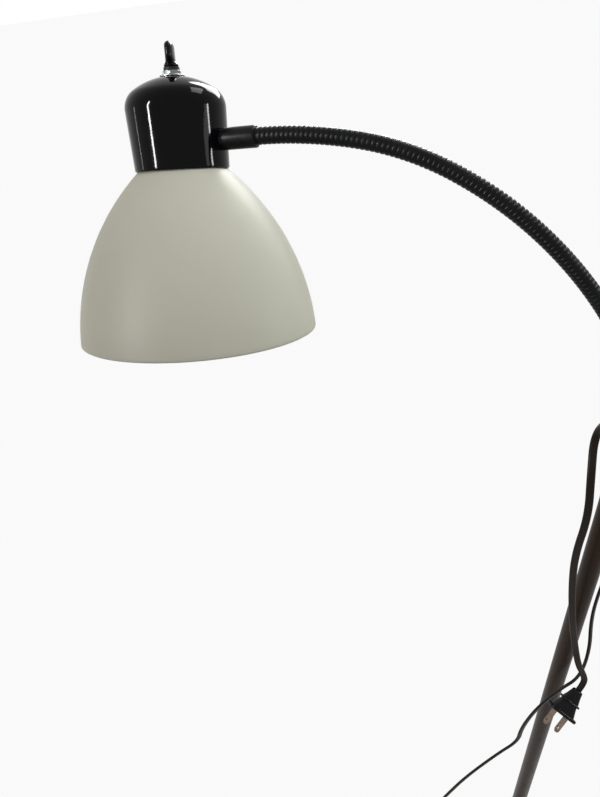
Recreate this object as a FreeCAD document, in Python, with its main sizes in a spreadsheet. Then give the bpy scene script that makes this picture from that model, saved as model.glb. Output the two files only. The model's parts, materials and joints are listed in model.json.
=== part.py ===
import FreeCAD, Part
import Sketcher
import math
import os
from FreeCAD import Placement, Rotation, Vector

# Gooseneck reading floor lamp, in millimetres, +Z up.
# The origin is the middle of the felt under the base; the arm reaches out along -X.

doc = FreeCAD.newDocument("gooseneck_floor_lamp")
sheet = doc.addObject("Spreadsheet::Sheet", "Sizes")
parts = {}

X_AXIS = Vector(1, 0, 0)
Y_AXIS = Vector(0, 1, 0)
Z_AXIS = Vector(0, 0, 1)


# ---------------------------------------------------------------- sizes

class Size:
    """A length or angle that knows its value and the formula it comes from."""

    def __init__(self, value, formula):
        self.value = float(value)
        self.formula = formula

    def __add__(self, other):
        other = as_size(other)
        return Size(self.value + other.value, f"({self.formula} + {other.formula})")

    def __sub__(self, other):
        other = as_size(other)
        return Size(self.value - other.value, f"({self.formula} - {other.formula})")

    def __mul__(self, other):
        other = as_size(other)
        return Size(self.value * other.value, f"({self.formula} * {other.formula})")

    def __truediv__(self, other):
        other = as_size(other)
        return Size(self.value / other.value, f"({self.formula} / {other.formula})")

    def __radd__(self, other):
        return as_size(other) + self

    def __rsub__(self, other):
        return as_size(other) - self

    def __rmul__(self, other):
        return as_size(other) * self

    def __neg__(self):
        return Size(-self.value, f"(0 - {self.formula})")


def as_size(item):
    """A plain number as a Size."""
    return item if isinstance(item, Size) else Size(item, repr(float(item)))


def root(item):
    """The square root of a Size."""
    return Size(math.sqrt(item.value), f"sqrt({item.formula})")


def side_of(long_side, short_side):
    """The other short side of a right triangle."""
    return root(long_side * long_side - short_side * short_side)


def size(name, value):
    """Write one driving dimension into the next free row of the sheet."""
    row = len(sheet_rows) + 1
    sheet_rows.append(name)
    sheet.set(f"A{row}", repr(value))
    sheet.set(f"B{row}", name.replace("_", " "))
    sheet.setAlias(f"A{row}", name)
    return Size(value, f"Sizes.{name}")


def worked_out(name, item):
    """Keep a worked-out length in the sheet under its own name, as a formula."""
    row = len(sheet_rows) + 1
    sheet_rows.append(name)
    sheet.set(f"A{row}", "=" + item.formula.replace("Sizes.", ""))
    sheet.set(f"B{row}", name.replace("_", " "))
    sheet.setAlias(f"A{row}", name)
    return Size(item.value, f"Sizes.{name}")


sheet_rows = []

# clearances
seat_gap = size("seat_gap", 0.3)
thread_gap = size("thread_gap", 0.1)
shaft_gap = size("shaft_gap", 0.08)

# weighted base
felt_radius = size("felt_radius", 112.0)
felt_thickness = size("felt_thickness", 1.5)
weight_radius = size("weight_radius", 114.0)
weight_thickness = size("weight_thickness", 15.0)
weight_bevel = size("weight_bevel", 4.0)
weight_boss_radius = size("weight_boss_radius", 13.5)
weight_recess_radius = size("weight_recess_radius", 13.0)
weight_recess_depth = size("weight_recess_depth", 21.5)
channel_width = size("channel_width", 8.0)
channel_depth = size("channel_depth", 10.0)
cover_radius = size("cover_radius", 125.0)
cover_wall = size("cover_wall", 1.2)
cover_rim_level = size("cover_rim_level", 0.8)
cover_side_level = size("cover_side_level", 13.0)
cover_shoulder_radius = size("cover_shoulder_radius", 7.0)
cover_slope_rise = size("cover_slope_rise", 6.0)
cover_hub_radius = size("cover_hub_radius", 17.0)
cover_hub_level = size("cover_hub_level", 34.0)
cover_hub_sweep = size("cover_hub_sweep", 10.0)
rod_radius = size("rod_radius", 4.8)
rod_top_reach = size("rod_top_reach", 20.0)
rod_below_nut = size("rod_below_nut", 1.0)
nut_height = size("nut_height", 5.0)
nut_across_flats = size("nut_across_flats", 14.0)
washer_radius = size("washer_radius", 9.5)
washer_thickness = size("washer_thickness", 1.0)
foot_ring_radius = size("foot_ring_radius", 13.0)
foot_ring_height = size("foot_ring_height", 11.0)
foot_ring_lip = size("foot_ring_lip", 3.0)

# pole
pole_radius = size("pole_radius", 8.0)
pole_wall = size("pole_wall", 1.0)
pole_joint_level = size("pole_joint_level", 520.0)
pole_top_level = size("pole_top_level", 1119.5)
joint_ring_height = size("joint_ring_height", 3.0)
joint_ring_stand = size("joint_ring_stand", 0.5)
joint_stud_length = size("joint_stud_length", 26.0)
plug_depth = size("plug_depth", 22.0)
cap_flange_height = size("cap_flange_height", 3.5)
cap_flange_stand = size("cap_flange_stand", 0.7)

# gooseneck: rigid ribbed links that turn on each other at ball ends
lead_radius = size("lead_radius", 2.3)
neck_radius = size("neck_radius", 4.95)
rib_depth = size("rib_depth", 0.7)
link_length = size("link_length", 59.6)
link_end_gap = size("link_end_gap", 1.0)
ball_radius = size("ball_radius", 3.7)
ball_mouth = size("ball_mouth", 2.3)
collar_radius = size("collar_radius", 6.35)
collar_bevel = size("collar_bevel", 0.7)
base_collar_length = size("base_collar_length", 26.0)
stub_radius = size("stub_radius", 4.8)
stub_length = size("stub_length", 16.0)

# head: a cup round the lampholder, and the bell shade under it
head_reach = size("head_reach", 53.2)
head_roll = size("head_roll", 17.3)
cup_mouth_radius = size("cup_mouth_radius", 29.5)
cup_shoulder_radius = size("cup_shoulder_radius", 30.7)
cup_mouth_level = size("cup_mouth_level", -16.0)
cup_shoulder_level = size("cup_shoulder_level", 19.0)
cup_dome_height = size("cup_dome_height", 18.0)
cup_corner_radius = size("cup_corner_radius", 12.5)
cup_wall = size("cup_wall", 1.0)
bracket_thickness = size("bracket_thickness", 1.5)
bracket_half_width = size("bracket_half_width", 8.0)
bracket_tab_top = size("bracket_tab_top", 9.0)
bracket_shelf_level = size("bracket_shelf_level", -10.5)
bracket_shelf_end = size("bracket_shelf_end", -9.0)
collar_nut_across_flats = size("collar_nut_across_flats", 13.0)
screw_spacing = size("screw_spacing", 10.0)
screw_radius = size("screw_radius", 1.5)
screw_head_radius = size("screw_head_radius", 2.6)
screw_head_height = size("screw_head_height", 1.8)
screw_length = size("screw_length", 8.0)
holder_flange_radius = size("holder_flange_radius", 23.0)
holder_flange_height = size("holder_flange_height", 2.9)
holder_radius = size("holder_radius", 17.5)
holder_length = size("holder_length", 39.5)
holder_floor = size("holder_floor", 14.2)
contact_recess = size("contact_recess", 3.7)
shell_bore_radius = size("shell_bore_radius", 13.2)
shell_wall = size("shell_wall", 0.5)
shell_length = size("shell_length", 22.3)
shell_floor_hole = size("shell_floor_hole", 6.0)
contact_radius = size("contact_radius", 3.5)
contact_stem_radius = size("contact_stem_radius", 1.5)
contact_stand = size("contact_stand", 3.0)
contact_thickness = size("contact_thickness", 0.8)
shade_ring_radius = size("shade_ring_radius", 22.5)
shade_ring_height = size("shade_ring_height", 6.0)
shade_wall = size("shade_wall", 3.0)
shade_hole_radius = size("shade_hole_radius", 18.2)
shade_neck_radius = size("shade_neck_radius", 29.0)
shade_neck_drop = size("shade_neck_drop", 3.4)
shade_neck_step = size("shade_neck_step", 3.7)
shade_rim_radius = size("shade_rim_radius", 79.2)
shade_height = size("shade_height", 103.0)
shade_arc_radius = size("shade_arc_radius", 155.0)

# rotary switch on the dome
switch_body_radius = size("switch_body_radius", 9.5)
switch_body_height = size("switch_body_height", 13.0)
switch_bush_radius = size("switch_bush_radius", 4.8)
switch_bush_stand = size("switch_bush_stand", 5.0)
switch_washer_radius = size("switch_washer_radius", 7.6)
switch_washer_thickness = size("switch_washer_thickness", 0.8)
switch_nut_across_flats = size("switch_nut_across_flats", 11.4)
switch_nut_height = size("switch_nut_height", 3.4)
key_stem_radius = size("key_stem_radius", 2.3)
key_stem_depth = size("key_stem_depth", 9.0)
key_height = size("key_height", 13.4)
key_width = size("key_width", 14.5)
key_thickness = size("key_thickness", 5.2)
key_foot_radius = size("key_foot_radius", 4.4)
key_turn = size("key_turn", 20.0)
wire_radius = size("wire_radius", 1.1)

# mains cord, its strain relief and its plug
cord_radius = size("cord_radius", 2.8)
cord_exit_level = size("cord_exit_level", 7.2)
cord_exit_angle = size("cord_exit_angle", 210.0)
relief_length = size("relief_length", 27.95)
relief_step = size("relief_step", 12.0)
relief_neck_radius = size("relief_neck_radius", 4.8)
relief_flange_radius = size("relief_flange_radius", 6.4)
relief_flange_thickness = size("relief_flange_thickness", 2.0)
relief_root_radius = size("relief_root_radius", 5.0)
relief_tip_radius = size("relief_tip_radius", 3.5)
plug_length = size("plug_length", 27.0)
plug_bevel = size("plug_bevel", 1.8)
plug_back_width = size("plug_back_width", 9.0)
plug_back_thickness = size("plug_back_thickness", 7.5)
plug_grip_width = size("plug_grip_width", 15.0)
plug_grip_thickness = size("plug_grip_thickness", 9.0)
plug_stop_level = size("plug_stop_level", 12.0)
plug_stop_width = size("plug_stop_width", 18.5)
plug_stop_thickness = size("plug_stop_thickness", 11.5)
plug_stop_height = size("plug_stop_height", 1.8)
plug_face_width = size("plug_face_width", 28.0)
plug_face_thickness = size("plug_face_thickness", 14.0)
plug_face_height = size("plug_face_height", 3.0)
blade_width = size("blade_width", 6.35)
blade_thickness = size("blade_thickness", 1.5)
blade_length = size("blade_length", 16.5)
blade_spacing = size("blade_spacing", 12.7)
blade_hole_radius = size("blade_hole_radius", 1.6)
blade_hole_inset = size("blade_hole_inset", 4.5)

# counts and angles of the gooseneck
NECK_SIDES = 10
RIBS_PER_LINK = 14
LEAD_STEPS = 4
BORE_STEPS = 4
LEAD_SIDES = 8
WIRE_SIDES = 5
CORD_SIDES = 6
# how far each link turns from the vertical pole towards the head, in degrees
LINK_TURNS = (18.1, 18.2, 12.2, 13.2, 19.0, 12.3)

doc.recompute()


# ---------------------------------------------------------------- building helpers

def keep(label, item):
    """Register an object as a sub-part under its own name."""
    item.Label = label
    parts[label] = item
    return item


def plane_sketch(body, role, name):
    """A sketch on one of the body's own origin planes."""
    plane = [item for item in body.Origin.OriginFeatures if item.Role == role][0]
    sketch = body.newObject("Sketcher::SketchObject", name)
    sketch.AttachmentSupport = [(plane, "")]
    sketch.MapMode = "FlatFace"
    return sketch


def bind(item, name, length):
    """Tie a property to the sheet."""
    item.setExpression(name, as_size(length).formula)


def constrain(sketch, constraint, length):
    """Add a dimension to a sketch and tie it to the sheet."""
    index = sketch.addConstraint(constraint)
    sketch.setExpression(f"Constraints[{index}]", as_size(length).formula)


def arc_edge(start, finish, radius, side):
    """The short arc from start to finish whose centre lies left or right of the way there."""
    chord = finish - start
    rise = math.sqrt(radius ** 2 - (chord.Length / 2) ** 2)
    leftward = Vector(-chord.y, chord.x, 0).normalize()
    centre = (start + finish) * 0.5 + leftward * (rise if side == "left" else -rise)
    first = start - centre
    last = finish - centre
    angles = (math.atan2(first.y, first.x), math.atan2(last.y, last.x))
    circle = Part.Circle(centre, Z_AXIS, radius)
    if side == "left":
        return Part.ArcOfCircle(circle, angles[0], angles[1]), (1, 2)
    return Part.ArcOfCircle(circle, angles[1], angles[0]), (2, 1)


def on_bow(start, finish, radius, side, share):
    """A point of the arc from start to finish, square off the chord at a share of its length."""
    across = finish[0] - start[0]
    rise = finish[1] - start[1]
    chord = root(across * across + rise * rise)
    flank = chord * (share - 0.5)
    sagitta = root(radius * radius - flank * flank) - side_of(radius, chord / 2)
    lean = sagitta / chord if side == "right" else -sagitta / chord
    return start[0] + across * share - rise * lean, start[1] + rise * share + across * lean


def with_chords(corners):
    """Replace each arc that states a number of chords by that many straight sides."""
    straight = []
    for index, corner in enumerate(corners):
        following = corners[(index + 1) % len(corners)]
        if len(corner) < 5:
            straight.append(corner)
            continue
        x, y, radius, side, chords = corner
        straight.append((x, y))
        for step in range(1, chords):
            straight.append(on_bow((x, y), following[:2], radius, side, step / chords))
    return straight


def outline(sketch, corners):
    """Draw a closed outline: each corner is x, y and, where an arc leaves it, its radius, the side
    that its centre is on and, where it is drawn as chords, how many."""
    corners = [(as_size(c[0]), as_size(c[1])) + tuple(c[2:]) for c in corners]
    corners = with_chords(corners)
    ends = []
    first = sketch.GeometryCount
    for index, corner in enumerate(corners):
        following = corners[(index + 1) % len(corners)]
        start = Vector(corner[0].value, corner[1].value, 0)
        finish = Vector(following[0].value, following[1].value, 0)
        if len(corner) == 2:
            sketch.addGeometry(Part.LineSegment(start, finish), False)
            ends.append((1, 2))
        else:
            edge, points = arc_edge(start, finish, corner[2].value, corner[3])
            sketch.addGeometry(edge, False)
            ends.append(points)
    for index, corner in enumerate(corners):
        edge = first + index
        following = (index + 1) % len(corners)
        sketch.addConstraint(Sketcher.Constraint(
            "Coincident", edge, ends[index][1], first + following, ends[following][0]))
        at = ends[index][0]
        constrain(sketch, Sketcher.Constraint("DistanceX", -1, 1, edge, at, corner[0].value), corner[0])
        constrain(sketch, Sketcher.Constraint("DistanceY", -1, 1, edge, at, corner[1].value), corner[1])
        if len(corner) > 2:
            constrain(sketch, Sketcher.Constraint("Radius", edge, corner[2].value), corner[2])


def disc(sketch, x, y, radius):
    """Draw one circle tied to the sheet."""
    x, y, radius = as_size(x), as_size(y), as_size(radius)
    edge = sketch.GeometryCount
    sketch.addGeometry(Part.Circle(Vector(x.value, y.value, 0), Z_AXIS, radius.value), False)
    constrain(sketch, Sketcher.Constraint("DistanceX", -1, 1, edge, 3, x.value), x)
    constrain(sketch, Sketcher.Constraint("DistanceY", -1, 1, edge, 3, y.value), y)
    constrain(sketch, Sketcher.Constraint("Radius", edge, radius.value), radius)


def turned_body(name, corners):
    """A body turned about its own Z axis from a half profile of radius, level corners."""
    body = doc.addObject("PartDesign::Body", name)
    sketch = plane_sketch(body, "XZ_Plane", name + "_profile")
    outline(sketch, corners)
    turning = body.newObject("PartDesign::Revolution", name + "_turning")
    turning.Profile = sketch
    turning.ReferenceAxis = (sketch, ["V_Axis"])
    turning.Angle = 360
    body.Tip = turning
    return body


def turned(name, corners):
    """A sub-part that is one turned body."""
    return keep(name, turned_body(name, corners))


def add_pad(body, name, role, draw, length, symmetric=False, start=None):
    """Add a pad of what draw puts in a sketch, from the plane or from a level above it."""
    sketch = plane_sketch(body, role, name + "_outline")
    draw(sketch)
    if start is not None:
        bind(sketch, "AttachmentOffset.Base.z", start)
    pad = body.newObject("PartDesign::Pad", name)
    pad.Profile = sketch
    if symmetric:
        pad.SideType = "Symmetric"
    bind(pad, "Length", length)
    body.Tip = pad
    return pad


def add_pocket(body, name, role, draw, length, symmetric=False):
    """Cut a pocket towards the plane's positive side and make sure that it cuts."""
    doc.recompute()
    before = body.Shape.Volume
    sketch = plane_sketch(body, role, name + "_outline")
    draw(sketch)
    pocket = body.newObject("PartDesign::Pocket", name)
    pocket.Profile = sketch
    if symmetric:
        pocket.SideType = "Symmetric"
    else:
        pocket.Reversed = True
    bind(pocket, "Length", length)
    body.Tip = pocket
    doc.recompute()
    assert body.Shape.Volume < before - 0.1, name + " cuts nothing"
    return pocket


def tube(inner, outer, low, high):
    """Corners of a plain tube's half profile."""
    return [(inner, low), (outer, low), (outer, high), (inner, high)]


def hex_nut(name, across_flats, height, bore):
    """A hexagon nut standing on its own origin."""
    prism = doc.addObject("Part::Prism", name + "_hexagon")
    prism.Polygon = 6
    bind(prism, "Circumradius", across_flats / math.sqrt(3))
    bind(prism, "Height", height)
    hole = doc.addObject("Part::Cylinder", name + "_hole")
    bind(hole, "Radius", bore)
    bind(hole, "Height", height)
    nut = doc.addObject("Part::Cut", name)
    nut.Base = prism
    nut.Tool = hole
    return keep(name, nut)


def rounded_path(points):
    """Straight runs joined by tangent arcs of 0.45 of the shorter run over tan(half the turn)."""
    points = [Vector(*point) for point in points]
    edges = []
    radii = []
    at = points[0]
    for before, corner, after in zip(points, points[1:], points[2:]):
        inward = (before - corner).normalize()
        onward = (after - corner).normalize()
        half_turn = (math.pi - inward.getAngle(onward)) / 2
        reach = 0.45 * min((corner - before).Length, (after - corner).Length)
        radius = reach / math.tan(half_turn)
        start = corner + inward * reach
        finish = corner + onward * reach
        bisector = (inward + onward).normalize()
        middle = corner + bisector * (radius / math.cos(half_turn) - radius)
        edges.append(Part.LineSegment(at, start).toShape())
        edges.append(Part.Arc(start, middle, finish).toShape())
        radii.append(radius)
        at = finish
    edges.append(Part.LineSegment(at, points[-1]).toShape())
    return Part.Wire(edges), radii


def swept_tube(path, radius, sides):
    """A many-sided section carried along a path, checked against section times length."""
    first = path.Edges[0]
    start = first.valueAt(first.FirstParameter)
    heading = first.tangentAt(first.FirstParameter)
    level_way = heading.cross(Z_AXIS if abs(heading.z) < 0.9 else Y_AXIS).normalize()
    steep_way = heading.cross(level_way)
    corners = []
    for step in range(sides):
        angle = 2 * math.pi * (step + 0.5) / sides
        corners.append(start + level_way * (radius * math.cos(angle)) + steep_way * (radius * math.sin(angle)))
    section = Part.makePolygon(corners + corners[:1])
    solid = path.makePipeShell([section], True, False)
    expected = sides / 2 * math.sin(2 * math.pi / sides) * radius ** 2 * path.Length
    assert abs(solid.Volume / expected - 1) < 0.02, "the tube's volume is off"
    return solid


def feature(name, shape, place=None):
    """A sub-part with a worked-out shape, placed after its shape is set."""
    item = doc.addObject("Part::Feature", name)
    item.Shape = shape
    if place is not None:
        item.Placement = place
    return keep(name, item)


# ---------------------------------------------------------------- shared levels

pole_bore_radius = pole_radius - pole_wall
fitting_radius = pole_bore_radius - thread_gap / 2
lead_bore_radius = lead_radius + seat_gap
exit_turn = Rotation(Z_AXIS, cord_exit_angle.value)

felt_top = felt_thickness
weight_top = felt_top + weight_thickness
recess_roof = felt_top + weight_recess_depth
hub_inside = cover_hub_level - cover_wall
neck_foot_level = worked_out("neck_foot_level", pole_top_level + cap_flange_height)
neck_start_level = worked_out("neck_start_level", neck_foot_level + base_collar_length)
doc.recompute()


# ---------------------------------------------------------------- base

def make_felt():
    turned("base_felt_pad", [(0, 0), (felt_radius, 0), (felt_radius, felt_top), (0, felt_top)])


def make_weight():
    """A cast disc with a boss up to the cover's hub, a nut recess below and a channel for the lead."""
    rod_hole = rod_radius + seat_gap
    body = turned("base_weight", [
        (weight_recess_radius, felt_top),
        (weight_radius, felt_top),
        (weight_radius, weight_top - weight_bevel),
        (weight_radius - weight_bevel, weight_top),
        (weight_boss_radius, weight_top),
        (weight_boss_radius, hub_inside),
        (rod_hole, hub_inside),
        (rod_hole, recess_roof),
        (weight_recess_radius, recess_roof)])
    half = channel_width / 2

    def channel(sketch):
        outline(sketch, [(weight_recess_radius - 2, -half), (weight_radius + 1, -half),
                         (weight_radius + 1, half), (weight_recess_radius - 2, half)])

    add_pocket(body, "lead_channel", "XY_Plane", channel, channel_depth + felt_top)
    body.Placement = Placement(Vector(), exit_turn)


def make_cover():
    """A spun shell: upright rim, rolled shoulder, gentle cone and a swept hub, with the cord's hole."""
    shoulder = cover_radius - cover_shoulder_radius
    shoulder_level = cover_side_level + cover_shoulder_radius
    cone_top = cover_hub_radius + cover_hub_sweep
    cone_level = shoulder_level + cover_slope_rise
    outer_sweep = root(cover_hub_sweep * cover_hub_sweep
                       + (cover_hub_level - cone_level) * (cover_hub_level - cone_level))
    hole = rod_radius + seat_gap
    body = turned("base_cover", [
        (cover_radius - cover_wall, cover_rim_level),
        (cover_radius, cover_rim_level),
        (cover_radius, cover_side_level, cover_shoulder_radius, "left", 3),
        (shoulder, shoulder_level),
        (cone_top, cone_level, outer_sweep, "right", 3),
        (cover_hub_radius, cover_hub_level),
        (hole, cover_hub_level),
        (hole, hub_inside),
        (cover_hub_radius, hub_inside),
        (cone_top, cone_level - cover_wall),
        (shoulder, shoulder_level - cover_wall),
        (cover_radius - cover_wall, cover_side_level + cover_wall)])
    add_pocket(body, "cord_hole", "YZ_Plane",
               lambda sketch: disc(sketch, 0, cord_exit_level, relief_neck_radius + seat_gap),
               cover_radius + 1)
    body.Placement = Placement(Vector(), exit_turn)


def make_rod_and_nut():
    """The hollow threaded rod that clamps weight, cover and pole, with its washer and nut."""
    washer_level = recess_roof - washer_thickness
    nut_level = washer_level - nut_height
    turned("base_rod", tube(lead_bore_radius, rod_radius, nut_level - rod_below_nut,
                            cover_hub_level + rod_top_reach))
    turned("base_rod_washer", tube(rod_radius + seat_gap, washer_radius, washer_level, recess_roof))
    nut = hex_nut("base_rod_nut", nut_across_flats, nut_height, rod_radius + thread_gap)
    bind(nut, "Placement.Base.z", nut_level)


def make_foot_ring():
    """The turned ring that hides where the pole meets the base."""
    bore = pole_radius + seat_gap
    top = cover_hub_level + foot_ring_height
    turned("pole_foot_ring", [
        (bore, cover_hub_level),
        (foot_ring_radius, cover_hub_level),
        (foot_ring_radius, cover_hub_level + foot_ring_lip,
         foot_ring_height - foot_ring_lip + 1, "right", 2),
        (bore + 1, top),
        (bore, top)])


# ---------------------------------------------------------------- pole

def make_pole():
    """Two steel tubes screwed together over a stud, with a threaded plug at each outer end."""
    ring_top = pole_joint_level + joint_ring_height
    turned("pole_lower", tube(pole_bore_radius, pole_radius, cover_hub_level, pole_joint_level))
    turned("pole_upper", tube(pole_bore_radius, pole_radius, ring_top, pole_top_level))
    turned("pole_bottom_bush", tube(rod_radius + thread_gap, fitting_radius, cover_hub_level + 1,
                                    cover_hub_level + rod_top_reach))
    turned("pole_coupler", [
        (lead_bore_radius, pole_joint_level - joint_stud_length),
        (fitting_radius, pole_joint_level - joint_stud_length),
        (fitting_radius, pole_joint_level),
        (pole_radius + joint_ring_stand, pole_joint_level),
        (pole_radius + joint_ring_stand, ring_top),
        (fitting_radius, ring_top),
        (fitting_radius, ring_top + joint_stud_length),
        (lead_bore_radius, ring_top + joint_stud_length)])


def make_pole_cap():
    """The cap in the top of the pole, threaded for the gooseneck's stub."""
    bore = stub_radius + thread_gap
    edge = pole_radius + cap_flange_stand
    turned("pole_top_cap", [
        (bore, pole_top_level - plug_depth),
        (fitting_radius, pole_top_level - plug_depth),
        (fitting_radius, pole_top_level),
        (edge, pole_top_level),
        (edge, neck_foot_level - 1),
        (edge - 0.6, neck_foot_level),
        (bore, neck_foot_level)])


# ---------------------------------------------------------------- gooseneck

socket_radius = ball_radius + seat_gap + 0.05
ball_neck = side_of(ball_radius, link_end_gap)
ball_lip = side_of(ball_radius, ball_mouth)


def make_base_collar():
    """The ferrule at the foot of the gooseneck: a stub in the cap and a seat for the first ball."""
    top = neck_start_level - link_end_gap
    seat_mouth = side_of(socket_radius, link_end_gap)
    seat_floor = side_of(socket_radius, lead_bore_radius)
    turned("neck_base_collar", [
        (lead_bore_radius, neck_foot_level - stub_length),
        (stub_radius, neck_foot_level - stub_length),
        (stub_radius, neck_foot_level),
        (collar_radius, neck_foot_level),
        (collar_radius, top - collar_bevel),
        (collar_radius - collar_bevel, top),
        (seat_mouth, top, socket_radius, "right", 2),
        (lead_bore_radius, neck_start_level - seat_floor)])


def neck_frames():
    """The start of every link and of the head's collar: place and heading in the arm's plane."""
    at = Vector(0, 0, neck_start_level.value)
    heading = 90.0
    frames = [(at, heading)]
    for turn in LINK_TURNS:
        bend = link_length.value / math.radians(turn)
        place = frame_placement(at, heading)
        swing = math.radians(turn)
        tip = Vector(-bend * (1 - math.cos(swing)), 0, bend * math.sin(swing))
        at = place.multVec(tip)
        heading += turn
        frames.append((at, heading))
    return frames


def frame_placement(at, heading):
    """A placement whose own Z runs along the heading and whose Y stays the arm's side."""
    return Placement(at, Rotation(Y_AXIS, 90.0 - heading))


def ring(bend, station, radius):
    """A many-sided ring square to the link's arc; below zero the arc runs on straight."""
    swing = max(station, 0.0) / bend
    centre = Vector(-bend * (1 - math.cos(swing)), 0, bend * math.sin(swing) + min(station, 0.0))
    outward = Vector(math.cos(swing), 0, math.sin(swing))
    corners = []
    for step in range(NECK_SIDES):
        angle = 2 * math.pi * step / NECK_SIDES
        corners.append(centre + outward * (radius * math.cos(angle)) + Y_AXIS * (radius * math.sin(angle)))
    return Part.makePolygon(corners + corners[:1])


def ribbed_stations():
    """Stations and radii of a link's outside: the ball, then valleys and crests by turns."""
    ball = ball_radius.value
    stations = [(-ball_mouth.value, ball_lip.value), (-0.5 * ball_mouth.value,
                math.sqrt(ball ** 2 - (0.5 * ball_mouth.value) ** 2)), (0.0, ball)]
    start = link_end_gap.value
    finish = link_length.value - link_end_gap.value
    stations.append((start - 0.05, ball_neck.value))
    crest = neck_radius.value
    valley = crest - rib_depth.value
    pitch = (finish - start) / RIBS_PER_LINK
    stations.append((start, valley))
    for rib in range(RIBS_PER_LINK):
        stations.append((start + (rib + 0.5) * pitch, crest))
        stations.append((start + (rib + 1) * pitch, valley))
    return stations


def hollow_stations():
    """Stations and radii of a link's inside: the lead's bore, then the seat of the next ball."""
    flat = 1 / math.cos(math.pi / NECK_SIDES)
    bore = lead_bore_radius.value
    seat = socket_radius.value
    length = link_length.value
    floor = math.sqrt(seat ** 2 - bore ** 2)
    stations = [(-2 * ball_mouth.value, bore), (0.0, bore)]
    for step in range(1, BORE_STEPS + 1):
        stations.append(((length - floor) * step / BORE_STEPS, bore))
    stations.append((length - 0.45 * floor, math.sqrt(seat ** 2 - (0.45 * floor) ** 2)))
    stations.append((length + link_end_gap.value, seat))
    return [(station, radius * flat) for station, radius in stations]


def make_link(number, at, heading, turn):
    """One rigid stretch of gooseneck: a ruled loft of ribs, hollowed by a ruled loft of its bore."""
    bend = link_length.value / math.radians(turn)
    outside = Part.makeLoft([ring(bend, *item) for item in ribbed_stations()], True, True)
    inside = Part.makeLoft([ring(bend, *item) for item in hollow_stations()], True, True)
    feature(f"gooseneck_link_{number}", outside.cut(inside), frame_placement(at, heading))


def make_link_lead(number, at, heading, turn):
    """The stretch of lead inside one link, short of the next ball so that the link can turn."""
    bend = link_length.value / math.radians(turn)
    start = -(ball_mouth.value + 0.2)
    finish = link_length.value - ball_mouth.value - 1.9
    radius = lead_radius.value
    rings = [ring(bend, start, radius)]
    for step in range(LEAD_STEPS + 1):
        rings.append(ring(bend, finish * step / LEAD_STEPS, radius))
    feature(f"neck_lead_{number}", Part.makeLoft(rings, True, True), frame_placement(at, heading))


# ---------------------------------------------------------------- head

frames = neck_frames()
collar_at, collar_heading = frames[-1]
towards_head = Vector(math.cos(math.radians(collar_heading)), 0, math.sin(math.radians(collar_heading)))
head_centre = collar_at + towards_head * head_reach.value
# the head's own X looks back along the collar; the mouth is rolled towards -Y
head_place = Placement(head_centre, Rotation(Y_AXIS, 180.0 - collar_heading)
                       * Rotation(X_AXIS, -head_roll.value))
# turned parts on the collar's axis are drawn along Z and laid over onto X
along_collar = Placement(Vector(), Rotation(Y_AXIS, 90.0))

# the dome is a crown arc tangent to a corner arc tangent to the upright side
crown_radius = ((cup_shoulder_radius * cup_shoulder_radius
                 - 2 * cup_shoulder_radius * cup_corner_radius
                 + cup_dome_height * cup_dome_height)
                / (2 * (cup_dome_height - cup_corner_radius)))
crown_radius = worked_out("crown_radius", crown_radius)
crown_centre_level = worked_out("crown_centre_level",
                                cup_shoulder_level + cup_dome_height - crown_radius)
switch_hole_radius = switch_bush_radius + seat_gap
crown_hole_level = worked_out("crown_hole_level",
                              crown_centre_level + side_of(crown_radius, switch_hole_radius))
cup_taper = (cup_shoulder_radius - cup_mouth_radius) / (cup_shoulder_level - cup_mouth_level)
cup_radius_at_collar = cup_mouth_radius - cup_mouth_level * cup_taper
shade_top_level = worked_out("shade_top_level", bracket_shelf_level - holder_flange_height)
shade_neck_level = worked_out("shade_neck_level", shade_top_level - shade_neck_drop)
doc.recompute()


def crown_tangent(wall):
    """Where the crown arc meets the corner arc, for the outside (wall 0) or the inside."""
    corner = cup_corner_radius - wall
    crown = crown_radius - wall
    share = crown / (crown_radius - cup_corner_radius)
    radius = (cup_shoulder_radius - cup_corner_radius) * share
    level = crown_centre_level + (cup_shoulder_level - crown_centre_level) * share
    return radius, level, crown, corner


def make_cup():
    """The pressed cup: tapered side, rounded corner and crown, one wall thick all over."""
    outer_r, outer_level, crown, corner = crown_tangent(as_size(0))
    inner_r, inner_level, inner_crown, inner_corner = crown_tangent(cup_wall)
    body = turned("head_cup", [
        (cup_mouth_radius - cup_wall, cup_mouth_level),
        (cup_mouth_radius, cup_mouth_level),
        (cup_shoulder_radius, cup_shoulder_level, corner, "left", 4),
        (outer_r, outer_level, crown, "left", 3),
        (switch_hole_radius, crown_hole_level),
        (switch_hole_radius, crown_centre_level + side_of(inner_crown, switch_hole_radius),
         inner_crown, "right", 2),
        (inner_r, inner_level, inner_corner, "right", 2),
        (cup_shoulder_radius - cup_wall, cup_shoulder_level)])
    add_pocket(body, "collar_hole", "YZ_Plane",
               lambda sketch: disc(sketch, 0, 0, stub_radius + seat_gap), cup_shoulder_radius + 1)
    body.Placement = head_place


def bracket_back():
    """How far out the bracket's tab reaches: flat against the inside of the round cup."""
    radius = cup_mouth_radius - cup_wall + (bracket_shelf_level - cup_mouth_level) * cup_taper
    return side_of(radius, bracket_half_width) - seat_gap


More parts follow.
